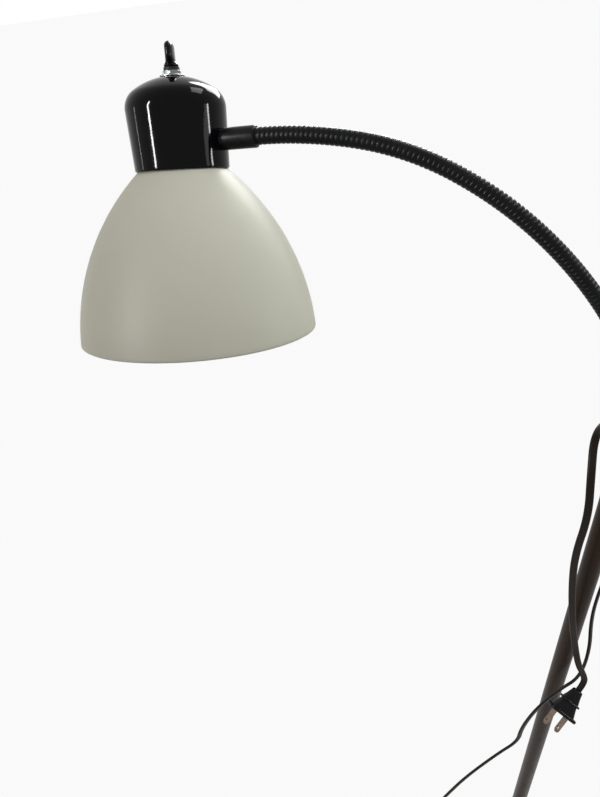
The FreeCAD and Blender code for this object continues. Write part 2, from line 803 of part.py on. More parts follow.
def make_bracket():
    """The bent strap that hangs the lampholder from the collar."""
    back = bracket_back()
    face = back - bracket_thickness
    low = bracket_shelf_level
    shelf_top = low + bracket_thickness
    body = doc.addObject("PartDesign::Body", "holder_bracket")

    def elbow(sketch):
        outline(sketch, [(bracket_shelf_end, low), (back, low), (back, bracket_tab_top),
                         (face, bracket_tab_top), (face, shelf_top), (bracket_shelf_end, shelf_top)])

    add_pad(body, "strap", "XZ_Plane", elbow, 2 * bracket_half_width, symmetric=True)
    add_pocket(body, "collar_eye", "YZ_Plane",
               lambda sketch: disc(sketch, 0, 0, stub_radius + seat_gap), back + 1)

    def screw_eyes(sketch):
        disc(sketch, 0, screw_spacing / 2, screw_radius + seat_gap)
        disc(sketch, 0, -screw_spacing / 2, screw_radius + seat_gap)

    add_pocket(body, "screw_eyes", "XY_Plane", screw_eyes, 3 * holder_length, symmetric=True)
    keep("holder_bracket", body).Placement = head_place


def make_collar():
    """The head's ferrule: saddled onto the cup, its stub through the wall, its ball in the last link."""
    outer_end = head_reach - link_end_gap
    inner_end = bracket_back() - bracket_thickness - nut_height - 1
    saddle_start = cup_radius_at_collar - 3
    barrel = turned_body("collar_barrel", [
        (lead_bore_radius, saddle_start),
        (collar_radius, saddle_start),
        (collar_radius, outer_end - collar_bevel),
        (collar_radius - collar_bevel, outer_end),
        (ball_neck, outer_end, ball_radius, "left", 3),
        (ball_lip, head_reach + ball_mouth),
        (lead_bore_radius, head_reach + ball_mouth)])
    saddle = doc.addObject("Part::Cylinder", "collar_saddle")
    bind(saddle, "Radius", cup_radius_at_collar + seat_gap)
    bind(saddle, "Height", 4 * collar_radius)
    saddle.Placement = Placement(Vector(-2 * collar_radius.value, 0, 0), Rotation(Y_AXIS, 90.0))
    bind(saddle, "Placement.Base.x", -2 * collar_radius)
    seated = doc.addObject("Part::Cut", "collar_seated")
    seated.Base = barrel
    seated.Tool = saddle
    stub = turned_body("collar_stub", tube(lead_bore_radius, stub_radius, inner_end,
                                           cup_radius_at_collar + 4))
    collar = doc.addObject("Part::MultiFuse", "head_collar")
    collar.Shapes = [seated, stub]
    collar.Refine = True
    keep("head_collar", collar).Placement = head_place * along_collar
    nut = hex_nut("collar_nut", collar_nut_across_flats, nut_height, stub_radius + thread_gap)
    nut_start = bracket_back().value - bracket_thickness.value - nut_height.value
    nut.Placement = head_place * along_collar * Placement(Vector(0, 0, nut_start), Rotation())
    lead_start = head_reach.value + ball_mouth.value + 0.2
    lead_end = inner_end.value
    path = Part.Wire([Part.LineSegment(Vector(lead_start, 0, 0), Vector(lead_end, 0, 0)).toShape()])
    feature(f"neck_lead_{len(LINK_TURNS) + 1}", swept_tube(path, lead_radius.value, LEAD_SIDES), head_place)


def make_lampholder():
    """The moulded holder: a flange over the shade, a threaded barrel and a well for the shell."""
    top = bracket_shelf_level
    bottom = top - holder_length
    floor = top - holder_floor
    well = shell_bore_radius + shell_wall + thread_gap
    recess = floor + contact_recess
    body = turned("lampholder", [
        (0, recess),
        (shell_floor_hole, recess),
        (shell_floor_hole, floor),
        (well, floor),
        (well, bottom),
        (holder_radius, bottom),
        (holder_radius, shade_top_level),
        (holder_flange_radius, shade_top_level),
        (holder_flange_radius, top),
        (0, top)])

    def screw_holes(sketch):
        disc(sketch, 0, screw_spacing / 2, screw_radius + thread_gap)
        disc(sketch, 0, -screw_spacing / 2, screw_radius + thread_gap)

    sketch = plane_sketch(body, "XY_Plane", "screw_holes_outline")
    screw_holes(sketch)
    bind(sketch, "AttachmentOffset.Base.z", top)
    holes = body.newObject("PartDesign::Pocket", "screw_holes")
    holes.Profile = sketch
    bind(holes, "Length", screw_length)
    body.Tip = holes
    body.Placement = head_place

    turned("screw_shell", [
        (shell_floor_hole, floor - shell_wall),
        (shell_bore_radius, floor - shell_wall),
        (shell_bore_radius, floor - shell_length),
        (shell_bore_radius + shell_wall, floor - shell_length),
        (shell_bore_radius + shell_wall, floor),
        (shell_floor_hole, floor)]).Placement = head_place
    turned("centre_contact", [
        (0, recess - contact_stand - contact_thickness),
        (contact_radius, recess - contact_stand - contact_thickness),
        (contact_radius, recess - contact_stand),
        (contact_stem_radius, recess - contact_stand),
        (contact_stem_radius, recess),
        (0, recess)]).Placement = head_place


def make_holder_screws():
    """Two pan-head screws through the bracket into the lampholder, one solid each."""
    level = bracket_shelf_level + bracket_thickness
    reach = bracket_shelf_level - screw_length + 0.5
    both = []
    for name, side in (("holder_screw_left", 1), ("holder_screw_right", -1)):
        screw = turned_body(name, [
            (0, reach), (screw_radius, reach), (screw_radius, level), (screw_head_radius, level),
            (screw_head_radius, level + screw_head_height - 0.6),
            (screw_head_radius - 0.6, level + screw_head_height), (0, level + screw_head_height)])
        bind(screw, "Placement.Base.y", side * screw_spacing / 2)
        both.append(screw)
    pair = doc.addObject("Part::Compound", "holder_screws")
    pair.Links = both
    keep("holder_screws", pair).Placement = head_place


def make_shade():
    """The blown bell: a flat fitter, a short cone and one long arc out to the rim."""
    rim_level = shade_neck_level - shade_height
    inner_arc = shade_arc_radius - shade_wall
    turned("glass_shade", [
        (shade_hole_radius, shade_top_level - shade_wall),
        (shade_neck_radius - shade_neck_step - 1.2, shade_top_level - shade_wall),
        (shade_neck_radius - 2.1, shade_neck_level - 2.1, inner_arc, "right", 5),
        (shade_rim_radius - shade_wall, rim_level),
        (shade_rim_radius, rim_level, shade_arc_radius, "left", 6),
        (shade_neck_radius, shade_neck_level),
        (shade_neck_radius - shade_neck_step, shade_top_level),
        (shade_hole_radius, shade_top_level)]).Placement = head_place
    ring_top = shade_top_level - shade_wall
    bore = holder_radius + thread_gap
    turned("shade_ring", [
        (bore, ring_top - shade_ring_height),
        (shade_ring_radius - 2, ring_top - shade_ring_height),
        (shade_ring_radius - 2, ring_top - 2),
        (shade_ring_radius, ring_top - 2),
        (shade_ring_radius, ring_top),
        (bore, ring_top)]).Placement = head_place


def make_switch():
    """The rotary switch under the dome, clamped by its washer and nut on top."""
    inner_crown = crown_radius - cup_wall
    shoulder = crown_centre_level + side_of(inner_crown, switch_body_radius) - seat_gap
    bush_top = crown_hole_level + switch_bush_stand
    bore = key_stem_radius + shaft_gap
    key_base = bush_top + seat_gap
    turned("switch_body", [
        (0, shoulder - switch_body_height),
        (switch_body_radius, shoulder - switch_body_height),
        (switch_body_radius, shoulder),
        (switch_bush_radius, shoulder),
        (switch_bush_radius, bush_top),
        (bore, bush_top),
        (bore, key_base - key_stem_depth - seat_gap),
        (0, key_base - key_stem_depth - seat_gap)]).Placement = head_place
    turned("switch_washer", tube(switch_hole_radius, switch_washer_radius, crown_hole_level,
                                 crown_hole_level + switch_washer_thickness)).Placement = head_place
    nut = hex_nut("switch_nut", switch_nut_across_flats, switch_nut_height,
                  switch_bush_radius + thread_gap)
    nut_level = crown_hole_level.value + switch_washer_thickness.value
    nut.Placement = head_place * Placement(Vector(0, 0, nut_level), Rotation(Z_AXIS, 20.0))

    # the key is where its front outline and its side outline meet, on a turned stem
    top = key_base + key_height
    half_width = key_width / 2
    half_foot = key_foot_radius
    half_thick = key_thickness / 2
    front = doc.addObject("PartDesign::Body", "key_front")
    corner = half_width - 2.5

    def front_outline(sketch):
        outline(sketch, [(-half_foot, key_base), (half_foot, key_base),
                         (half_width, key_base + 4),
                         (half_width, top - corner, corner, "left"),
                         (half_width - corner, top), (corner - half_width, top, corner, "left"),
                         (-half_width, top - corner), (-half_width, key_base + 4)])

    add_pad(front, "key_front_pad", "YZ_Plane", front_outline, 4 * key_foot_radius, symmetric=True)
    side = doc.addObject("PartDesign::Body", "key_side")

    def side_outline(sketch):
        outline(sketch, [(-half_foot, key_base), (half_foot, key_base),
                         (half_foot, key_base + 1),
                         (half_thick + 0.3, key_base + 3.5),
                         (half_thick, top - half_thick, half_thick, "left"),
                         (0, top, half_thick, "left"),
                         (-half_thick, top - half_thick),
                         (-half_thick - 0.3, key_base + 3.5),
                         (-half_foot, key_base + 1)])

    add_pad(side, "key_side_pad", "XZ_Plane", side_outline, 2 * key_width, symmetric=True)
    grip = doc.addObject("Part::Common", "key_grip")
    grip.Base = front
    grip.Tool = side
    stem_foot = key_base - key_stem_depth
    stem = turned_body("key_stem", [(0, stem_foot), (key_stem_radius, stem_foot),
                                    (key_stem_radius, key_base + 1), (0, key_base + 1)])
    key = doc.addObject("Part::MultiFuse", "switch_key")
    key.Shapes = [grip, stem]
    keep("switch_key", key).Placement = head_place * Placement(Vector(), Rotation(Z_AXIS, key_turn.value))


def make_head_wires():
    """Three insulated wires: collar to switch, collar to lampholder, switch to lampholder."""
    switch_floor = (crown_centre_level + side_of(crown_radius - cup_wall, switch_body_radius)
                    - seat_gap - switch_body_height).value
    holder_top = bracket_shelf_level.value
    stub_end = (bracket_back() - bracket_thickness - nut_height - 1).value
    routes = [
        [(stub_end, 1.2, 0.5), (stub_end - 10, 1.2, 0.5), (4, 2, 10), (4, 2, switch_floor)],
        [(stub_end, -1.2, -0.5), (stub_end - 8, -1.2, -0.5), (6, -11, -0.5), (3, -13.5, -4),
         (3, -13.5, holder_top)],
        [(-4, -3, switch_floor), (-4, -3, 14), (-6, -12, 5), (-6, -14, -3), (-6, -14, holder_top)]]
    solids = []
    for route in routes:
        path, radii = rounded_path(route)
        solids.append(swept_tube(path, wire_radius.value, WIRE_SIDES))
    feature("head_wires", Part.makeCompound(solids), head_place)


# ---------------------------------------------------------------- cord

# corners of the free cord's route, chosen by eye: out of the base, up in a slack bow, across the
# front of the pole, up its right side, round behind the neck, down its left side, to the plug
CORD_POINTS = [
    (-132.5, -76.5, 7.2),
    (-162.8, -94.0, 7.2),
    (-188.9, -114.8, 20.0),
    (-200.7, -126.3, 62.0),
    (-202.8, -128.7, 122.0),
    (-199.3, -120.8, 196.0),
    (-190.2, -108.6, 272.0),
    (-176.1, -97.0, 348.0),
    (-159.2, -86.2, 424.0),
    (-137.8, -77.3, 498.0),
    (-116.0, -67.0, 568.0),
    (-93.0, -57.0, 628.0),
    (-74.0, -50.0, 678.0),
    (-44.0, -38.0, 731.0),
    (-26.0, -31.0, 756.0),
    (-26.0, -31.0, 786.0),
    (-17.0, -28.0, 826.0),
    (-1.0, -22.0, 860.0),
    (16.0, -11.0, 870.0),
    (22.0, 6.0, 892.0),
    (17.0, 14.0, 930.0),
    (15.5, 12.5, 975.0),
    (17.5, 11.0, 1030.0),
    (15.5, 13.0, 1085.0),
    (16.0, 11.5, 1128.0),
    (7.0, 19.0, 1152.0),
    (-11.0, 19.0, 1160.0),
    (-22.0, 2.0, 1159.0),
    (-22.0, -19.0, 1140.0),
    (-18.0, -25.0, 1105.0),
    (-20.0, -26.0, 1062.0),
    (-15.0, -24.0, 1018.0),
    (-7.0, -23.0, 972.0),
    (1.0, -20.0, 935.0),
    (8.0, -21.0, 908.0),
    (15.5, -19.5, 891.0),
    (18.5, -20.0, 880.0),
    (14.0, -25.0, 872.0)]

# the plug hangs with its blades forward, left and down; WIDE is the way its blades stand apart
PLUG_ALONG = Vector(-0.499, -0.655, -0.564)
PLUG_WIDE = Vector(0.815, -0.137, -0.564)


def make_strain_relief():
    """The moulded bush in the base's rim: an inner and an outer flange and a stepped tail."""
    wall_in = cover_radius - cover_wall
    inner = wall_in - seat_gap - relief_flange_thickness
    outer = cover_radius + seat_gap
    body = turned("cord_strain_relief", [
        (0, inner),
        (relief_flange_radius, inner),
        (relief_flange_radius, inner + relief_flange_thickness),
        (relief_neck_radius, inner + relief_flange_thickness),
        (relief_neck_radius, outer),
        (relief_flange_radius, outer),
        (relief_flange_radius, outer + relief_flange_thickness),
        (relief_root_radius, outer + relief_flange_thickness),
        (relief_root_radius, cover_radius + relief_step),
        (relief_tip_radius, cover_radius + relief_step),
        (relief_tip_radius, cover_radius + relief_length),
        (0, cover_radius + relief_length)])
    lay = Rotation(Z_AXIS, cord_exit_angle.value) * Rotation(Y_AXIS, 90.0)
    body.Placement = Placement(Vector(0, 0, cord_exit_level.value), lay)


def make_inner_lead():
    """The lead inside the lamp: along the base's channel, up the rod and the pole."""
    level = cord_exit_level.value
    bend = 8.0
    start = (cover_radius - cover_wall - seat_gap - relief_flange_thickness).value
    top = neck_start_level.value - ball_mouth.value - 1.9
    turn = math.radians(45)
    knee = Vector(bend * (1 - math.sin(turn)), 0, level + bend * (1 - math.cos(turn)))
    edges = [
        Part.LineSegment(Vector(start, 0, level), Vector(bend, 0, level)).toShape(),
        Part.Arc(Vector(bend, 0, level), knee, Vector(0, 0, level + bend)).toShape(),
        Part.LineSegment(Vector(0, 0, level + bend), Vector(0, 0, top)).toShape()]
    lead = swept_tube(Part.Wire(edges), lead_radius.value, LEAD_SIDES)
    feature("inner_lead", lead, Placement(Vector(), exit_turn))


def make_cord():
    """The free cord, run a little into the plug and trimmed flush with the plug's back."""
    end = Vector(*CORD_POINTS[-1])
    heading = (end - Vector(*CORD_POINTS[-2])).normalize()
    path, radii = rounded_path(CORD_POINTS[:-1] + [tuple(end + heading * cord_radius.value)])
    print("cord length", round(path.Length, 1), "radii", [round(radius) for radius in radii])
    doc.recompute()
    tube_of_cord = swept_tube(path, cord_radius.value, CORD_SIDES)
    feature("mains_cord", tube_of_cord.cut(parts["plug_body"].Shape))


def plug_place():
    """The plug's frame: Z along the plug from the cord to the blades, X where the blades stand apart."""
    side = PLUG_ALONG.cross(PLUG_WIDE)
    return Placement(Vector(*CORD_POINTS[-1]), Rotation(PLUG_WIDE, side, PLUG_ALONG, "ZXY"))


def bevelled_rectangle(width, thickness, corner):
    """A drawing function for a rectangle with bevelled corners about the sketch's origin."""
    x = width / 2
    y = thickness / 2

    def draw(sketch):
        outline(sketch, [(corner - x, -y), (x - corner, -y), (x, corner - y), (x, y - corner),
                         (x - corner, y), (corner - x, y), (-x, y - corner), (-x, corner - y)])

    return draw


def add_loft(body, name, low, low_draw, high, high_draw):
    """Add a loft between two sketches at two levels of the body's Z."""
    sketches = []
    for end, level, draw in (("low", low, low_draw), ("high", high, high_draw)):
        sketch = plane_sketch(body, "XY_Plane", f"{name}_{end}")
        draw(sketch)
        bind(sketch, "AttachmentOffset.Base.z", level)
        sketches.append(sketch)
    loft = body.newObject("PartDesign::AdditiveLoft", name)
    loft.Profile = sketches[0]
    loft.Sections = [sketches[1]]
    loft.Ruled = True
    body.Tip = loft


def make_plug():
    """The moulded plug: a tapered grip, a thin stop, and the wide face that the blades stand in."""
    place = plug_place()
    corner = plug_bevel
    body = doc.addObject("PartDesign::Body", "plug_body")
    face_level = plug_length - plug_face_height
    grip = bevelled_rectangle(plug_grip_width, plug_grip_thickness, corner)
    neck = bevelled_rectangle(plug_back_width, plug_back_thickness, corner)
    shoulder = bevelled_rectangle(plug_face_width - 6, plug_face_thickness - 3, corner)
    add_loft(body, "plug_back", as_size(0), neck, plug_stop_level, grip)
    add_pad(body, "plug_stop", "XY_Plane",
            bevelled_rectangle(plug_stop_width, plug_stop_thickness, corner), plug_stop_height,
            start=plug_stop_level)
    add_loft(body, "plug_front", plug_stop_level + plug_stop_height, grip, face_level, shoulder)
    add_pad(body, "plug_face", "XY_Plane",
            bevelled_rectangle(plug_face_width, plug_face_thickness, corner), plug_face_height,
            start=face_level)
    keep("plug_body", body).Placement = place

    blades = []
    half = blade_width / 2
    tip = plug_length + blade_length
    for name, side in (("plug_blade_left", 1), ("plug_blade_right", -1)):
        blade = doc.addObject("PartDesign::Body", name)

        def outline_of_blade(sketch):
            outline(sketch, [(-half, plug_length), (half, plug_length), (half, tip - 2),
                             (half - 2, tip), (2 - half, tip), (-half, tip - 2)])
            disc(sketch, 0, tip - blade_hole_inset, blade_hole_radius)

        add_pad(blade, name + "_pad", "YZ_Plane", outline_of_blade, blade_thickness, symmetric=True)
        bind(blade, "Placement.Base.x", side * blade_spacing / 2)
        blades.append(blade)
    pair = doc.addObject("Part::Compound", "plug_blades")
    pair.Links = blades
    keep("plug_blades", pair).Placement = place


# ---------------------------------------------------------------- build, check and write

make_felt()
make_weight()
make_cover()
make_rod_and_nut()
make_foot_ring()
make_pole()
make_pole_cap()
make_base_collar()
for index, turn in enumerate(LINK_TURNS):
    make_link(index + 1, *frames[index], turn)
    make_link_lead(index + 1, *frames[index], turn)
make_cup()
make_bracket()
make_collar()
make_lampholder()
make_holder_screws()
make_shade()
make_switch()
make_head_wires()
make_strain_relief()
make_inner_lead()
make_plug()
make_cord()

doc.recompute()
for item in doc.Objects:
    assert "Invalid" not in item.State and "Error" not in item.State, item.Label
for name, item in parts.items():
    assert not item.Shape.isNull() and item.Shape.isValid() and item.Shape.Solids, name

os.makedirs("parts", exist_ok=True)
for name, item in parts.items():
    item.Shape.exportStep(f"parts/{name}.step")

for at, heading in frames:
    print("hinge", [round(value, 2) for value in at], "heading", round(heading, 1))
print("head centre", [round(value, 2) for value in head_centre],
      "axis", [round(value, 4) for value in head_place.Rotation.multVec(Z_AXIS)])
print(len(parts), "sub-parts")
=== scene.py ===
import json
import math

import bpy
import numpy as np
from mathutils import Matrix

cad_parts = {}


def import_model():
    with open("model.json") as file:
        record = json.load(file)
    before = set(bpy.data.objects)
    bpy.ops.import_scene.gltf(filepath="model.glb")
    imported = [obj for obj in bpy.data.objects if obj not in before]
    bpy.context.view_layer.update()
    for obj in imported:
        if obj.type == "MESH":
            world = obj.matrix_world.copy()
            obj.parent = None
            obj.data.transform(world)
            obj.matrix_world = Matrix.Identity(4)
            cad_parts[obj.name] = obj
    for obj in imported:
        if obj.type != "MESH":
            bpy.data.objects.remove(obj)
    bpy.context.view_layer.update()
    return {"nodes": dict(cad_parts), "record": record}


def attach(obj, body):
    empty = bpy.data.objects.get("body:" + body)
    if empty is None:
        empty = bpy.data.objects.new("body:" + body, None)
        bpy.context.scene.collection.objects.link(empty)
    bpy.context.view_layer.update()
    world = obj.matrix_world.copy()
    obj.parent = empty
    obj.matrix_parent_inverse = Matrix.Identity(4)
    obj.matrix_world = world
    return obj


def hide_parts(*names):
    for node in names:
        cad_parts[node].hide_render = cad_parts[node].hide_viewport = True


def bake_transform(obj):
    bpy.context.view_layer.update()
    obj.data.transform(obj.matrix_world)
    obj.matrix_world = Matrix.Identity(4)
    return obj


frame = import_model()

MM = 0.001
TAU = 2 * math.pi


# ---------------------------------------------------------------- surfaces

def polished(mesh, sharp_degrees):
    """Smooth shading with creases kept where faces meet at more than the given angle."""
    mesh.shade_smooth()
    mesh.set_sharp_from_angle(angle=math.radians(sharp_degrees))
    return mesh


def skin(name, grid, around=True, along=False, ends=True, sharp=35):
    """A mesh object from a grid of points: rows run along the piece, columns run around it.
    around joins the last column to the first, along joins the last row to the first, and ends
    closes the first and last rows with a fan about their middles."""
    rows, columns, _ = grid.shape
    points = grid.reshape(-1, 3)
    number = np.arange(rows * columns).reshape(rows, columns)
    right = np.roll(number, -1, axis=1) if around else number[:, 1:]
    left = number if around else number[:, :-1]
    up = np.roll(right, -1, axis=0) if along else right[1:]
    up_left = np.roll(left, -1, axis=0) if along else left[1:]
    low_right = right if along else right[:-1]
    low_left = left if along else left[:-1]
    faces = np.stack([low_left, low_right, up, up_left], axis=-1).reshape(-1, 4).tolist()
    if ends and not along:
        first, last = rows * columns, rows * columns + 1
        points = np.vstack([points, grid[0].mean(axis=0), grid[-1].mean(axis=0)])
        bottom = np.stack([right[0], left[0], np.full_like(left[0], first)], axis=-1)
        top = np.stack([left[-1], right[-1], np.full_like(left[-1], last)], axis=-1)
        faces += bottom.tolist() + top.tolist()
    mesh = bpy.data.meshes.new(name)
    mesh.from_pydata((points * MM).tolist(), [], faces)
    polished(mesh, sharp)
    piece = bpy.data.objects.new(name, mesh)
    bpy.context.scene.collection.objects.link(piece)
    return piece


def softened(corners, closed=False):
    """A profile with round corners: each corner is x, y and, where it is rounded, a radius.
    An arc of six chords, tangent to both sides, takes the corner's place."""
    profile = []
    count = len(corners)
    for index, corner in enumerate(corners):
        at = np.array(corner[:2], float)
        inner = closed or 0 < index < count - 1
        if len(corner) == 2 or not inner:
            profile.append(at)
            continue
        back = np.array(corners[index - 1][:2], float) - at
        onward = np.array(corners[(index + 1) % count][:2], float) - at
        back /= np.linalg.norm(back)
        onward /= np.linalg.norm(onward)
        half = math.acos(np.clip(back @ onward, -1, 1)) / 2
        reach = corner[2] / math.tan(half)
        middle = (back + onward) / np.linalg.norm(back + onward) * corner[2] / math.sin(half)
        start, finish = back * reach - middle, onward * reach - middle
        share = np.linspace(0, 1, 7)[:, None]
        sweep = math.pi - 2 * half
        arc = (start * np.sin((1 - share) * sweep) + finish * np.sin(share * sweep)) / math.sin(sweep)
        profile.extend(at + middle + arc)
    return np.array(profile)


def bow(start, finish, radius, side, count):
    """Points of the short arc between two profile points; side 1 has its centre on the left."""
    start, finish = np.array(start, float), np.array(finish, float)
    chord = finish - start
    length = np.linalg.norm(chord)
    leftward = np.array([-chord[1], chord[0]]) / length
    centre = (start + finish) / 2 + side * leftward * math.sqrt(radius ** 2 - length ** 2 / 4)
    first = np.arctan2(*(start - centre)[::-1])
    last = np.arctan2(*(finish - centre)[::-1])
    sweep = (last - first + math.pi) % TAU - math.pi
    angles = first + sweep * np.linspace(0, 1, count)
    return centre + radius * np.stack([np.cos(angles), np.sin(angles)], axis=-1)


def turned(name, profile, place=None, sides=96, closed=True, sharp=35):
    """A surface of revolution: each profile point at radius x, level y is carried round its Z.
    A closed profile makes a ring with a hole; an open one starts and ends on the axis."""
    profile = np.asarray(profile, float)
    angle = np.linspace(0, TAU, sides, endpoint=False)
    radius, level = profile[:, :1], profile[:, 1:]
    grid = np.stack([radius * np.cos(angle), radius * np.sin(angle),
                     level + 0 * angle], axis=-1)
    piece = skin(name, grid, along=closed, ends=not closed, sharp=sharp)
    if place is not None:
        piece.data.transform(place)
    return piece


def superellipse(half_width, half_depth, power, count):
    """One ring of x, y points: |x/a|^p + |y/b|^p = 1."""
    angle = np.linspace(0, TAU, count, endpoint=False)
    cosine, sine = np.cos(angle), np.sin(angle)
    x = half_width * np.sign(cosine) * np.abs(cosine) ** (2 / power)
    y = half_depth * np.sign(sine) * np.abs(sine) ** (2 / power)
    return np.stack([x, y], axis=-1)


def moulding(name, stations, place, count=48, sharp=40):
    """A moulded body: superellipse rings at stations of z, half width, half depth, power."""
    rings = []
    for z, half_width, half_depth, power in stations:
        ring = superellipse(half_width, half_depth, power, count)
        rings.append(np.column_stack([ring, np.full(count, z)]))
    piece = skin(name, np.array(rings), sharp=sharp)
    piece.data.transform(place)
    return piece


def placed(x_way, y_way, z_way, at_mm):
    """A placement in metres from three directions and a point in millimetres."""
    matrix = Matrix.Identity(4)
    for column, way in enumerate((x_way, y_way, z_way)):
        way = np.array(way, float) / np.linalg.norm(way)
        for row in range(3):
            matrix[row][column] = way[row]
    for row in range(3):
        matrix[row][3] = at_mm[row] * MM
    return matrix


# ---------------------------------------------------------------- finishes

class Wire:
    """A shader socket that sums, products and powers can be written with."""

    def __init__(self, finish, socket):
        self.finish = finish
        self.socket = socket

    def maths(self, operation, *values):
        return self.finish.node("ShaderNodeMath", {"operation": operation},
                                dict(enumerate(values)))

    def __add__(self, other):
        return self.maths("ADD", self, other)

    def __sub__(self, other):
        return self.maths("SUBTRACT", self, other)

    def __rsub__(self, other):
        return self.maths("SUBTRACT", other, self)

    def __mul__(self, other):
        return self.maths("MULTIPLY", self, other)

    __radd__ = __add__
    __rmul__ = __mul__

    def between(self, low, high):
        """0 below low, 1 above high and a smooth step between them."""
        return self.finish.node("ShaderNodeMapRange", {"interpolation_type": "SMOOTHSTEP"},
                                {"Value": self, "From Min": low, "From Max": high})


class Finish:
    """One material: its shader, with constants on the shader's own sockets."""

    def __init__(self, name, **constants):
        self.material = bpy.data.materials.new(name)
        self.material.use_nodes = True
        self.tree = self.material.node_tree
        self.tree.nodes.clear()
        self.shader = self.tree.nodes.new("ShaderNodeBsdfPrincipled")
        output = self.tree.nodes.new("ShaderNodeOutputMaterial")
        self.tree.links.new(self.shader.outputs["BSDF"], output.inputs["Surface"])
        for socket, value in constants.items():
            self.shader.inputs[socket.replace("_", " ")].default_value = value

    def node(self, kind, settings=None, values=None, output=0):
        """Add a node: its settings first, then the values or links of its sockets."""
        made = self.tree.nodes.new(kind)
        for key, value in (settings or {}).items():
            setattr(made, key, value)
        for key, value in (values or {}).items():
            if isinstance(value, Wire):
                self.tree.links.new(value.socket, made.inputs[key])
            else:
                made.inputs[key].default_value = value
        return Wire(self, made.outputs[output])

    def link(self, **inputs):
        for socket, value in inputs.items():
            self.tree.links.new(value.socket, self.shader.inputs[socket.replace("_", " ")])
        return self

    def place(self, stretch=(1, 1, 1)):
        """Object coordinates, scaled by stretch."""
        where = self.node("ShaderNodeTexCoord", output="Object")
        return self.node("ShaderNodeMapping", {}, {"Vector": where, "Scale": stretch})

    def attribute(self, name):
        return self.node("ShaderNodeAttribute", {"attribute_name": name}, output="Fac")

    def noise(self, where, scale, detail=3.0, rough=0.55):
        return self.node("ShaderNodeTexNoise", {},
                         {"Vector": where, "Scale": scale, "Detail": detail, "Roughness": rough})

    def mix(self, share, first, second):
        """A colour share of the way from first to second."""
        mixed = self.node("ShaderNodeMix", {"data_type": "RGBA"}, {0: share, 6: first, 7: second},
                          output=2)
        return mixed

    def bump(self, height, distance, strength=1.0, below=None):
        values = {"Height": height, "Distance": distance, "Strength": strength}
        if below is not None:
            values["Normal"] = below
        return self.node("ShaderNodeBump", {}, values)


def dark_gloss_enamel():
    """Deep black baked enamel: near-mirror gloss, faint orange peel, rare dust and finger haze."""
    finish = Finish("cup_black_gloss_enamel", IOR=1.5, Specular_IOR_Level=0.08)
    where = finish.place()
    haze = finish.noise(where, 38, 4).between(0.5, 0.78)
    dust = finish.noise(where, 900, 2).between(0.71, 0.77)
    peel = finish.noise(where, 420, 2)
    colour = finish.mix(haze * 0.5, (0.0016, 0.0017, 0.0026, 1), (0.0038, 0.0038, 0.0044, 1))
    colour = finish.mix(dust * 0.4, colour, (0.05, 0.049, 0.045, 1))
    return finish.link(Base_Color=colour, Roughness=0.06 + haze * 0.05 + dust * 0.2,
                       Normal=finish.bump(peel, 0.00004, 0.35))


def neck_steel():
    """Black satin over wound steel: crests rubbed lighter, grease and dust down in the valleys."""
    finish = Finish("neck_black_wound_steel", IOR=1.5, Specular_IOR_Level=0.1)
    where = finish.place()
    crest = finish.attribute("crest")
    patch = finish.noise(where, 60, 4).between(0.42, 0.7)
    grain = finish.noise(where, 1500, 2)
    worn = crest.between(0.86, 1.0) * patch
    colour = finish.mix(worn * 0.55, (0.0034, 0.0037, 0.0045, 1), (0.016, 0.017, 0.018, 1))
    colour = finish.mix((1 - crest.between(0.0, 0.5)) * 0.5, colour, (0.004, 0.0032, 0.0024, 1))
    return finish.link(Base_Color=colour, Roughness=0.34 + patch * 0.12 - worn * 0.08,
                       Metallic=worn * 0.25, Normal=finish.bump(grain, 0.00006, 0.3))


def collar_enamel():
    """Black satin enamel over a turned ferrule, with fine turning rings and rubbed rims."""
    finish = Finish("collar_black_enamel", IOR=1.5, Specular_IOR_Level=0.12)
    where = finish.place()
    rings = finish.noise(finish.place((2600, 60, 60)), 1.0, 2)
    haze = finish.noise(where, 90, 3).between(0.4, 0.75)
    colour = finish.mix(haze * 0.6, (0.0045, 0.0045, 0.0062, 1), (0.010, 0.0105, 0.012, 1))
    return finish.link(Base_Color=colour, Roughness=0.26 + haze * 0.12,
                       Normal=finish.bump(rings, 0.00004, 0.3))


def bronze_enamel(name, low, high, streak):
    """Dark bronze-brown satin enamel: long soft streaks along the draw, specks and small scuffs."""
    finish = Finish(name, IOR=1.48, Specular_IOR_Level=0.1)
    where = finish.place()
    streaks = finish.noise(finish.place(streak), 1.0, 4)
    clouds = finish.noise(where, 14, 4)
    specks = finish.noise(where, 700, 2).between(0.68, 0.76)
    scuffs = finish.noise(finish.place((220, 220, 30)), 1.0, 3).between(0.66, 0.74)
    colour = finish.mix(streaks * 0.6 + clouds * 0.4, low, high)
    colour = finish.mix(specks * 0.35, colour, (0.07, 0.045, 0.028, 1))
    grain = finish.noise(where, 1100, 2)
    normal = finish.bump(grain, 0.00008, 0.35)
    return finish.link(Base_Color=colour, Roughness=0.3 + clouds * 0.14 + scuffs * 0.16,
                       Normal=finish.bump(streaks, 0.0001, 0.25, normal))


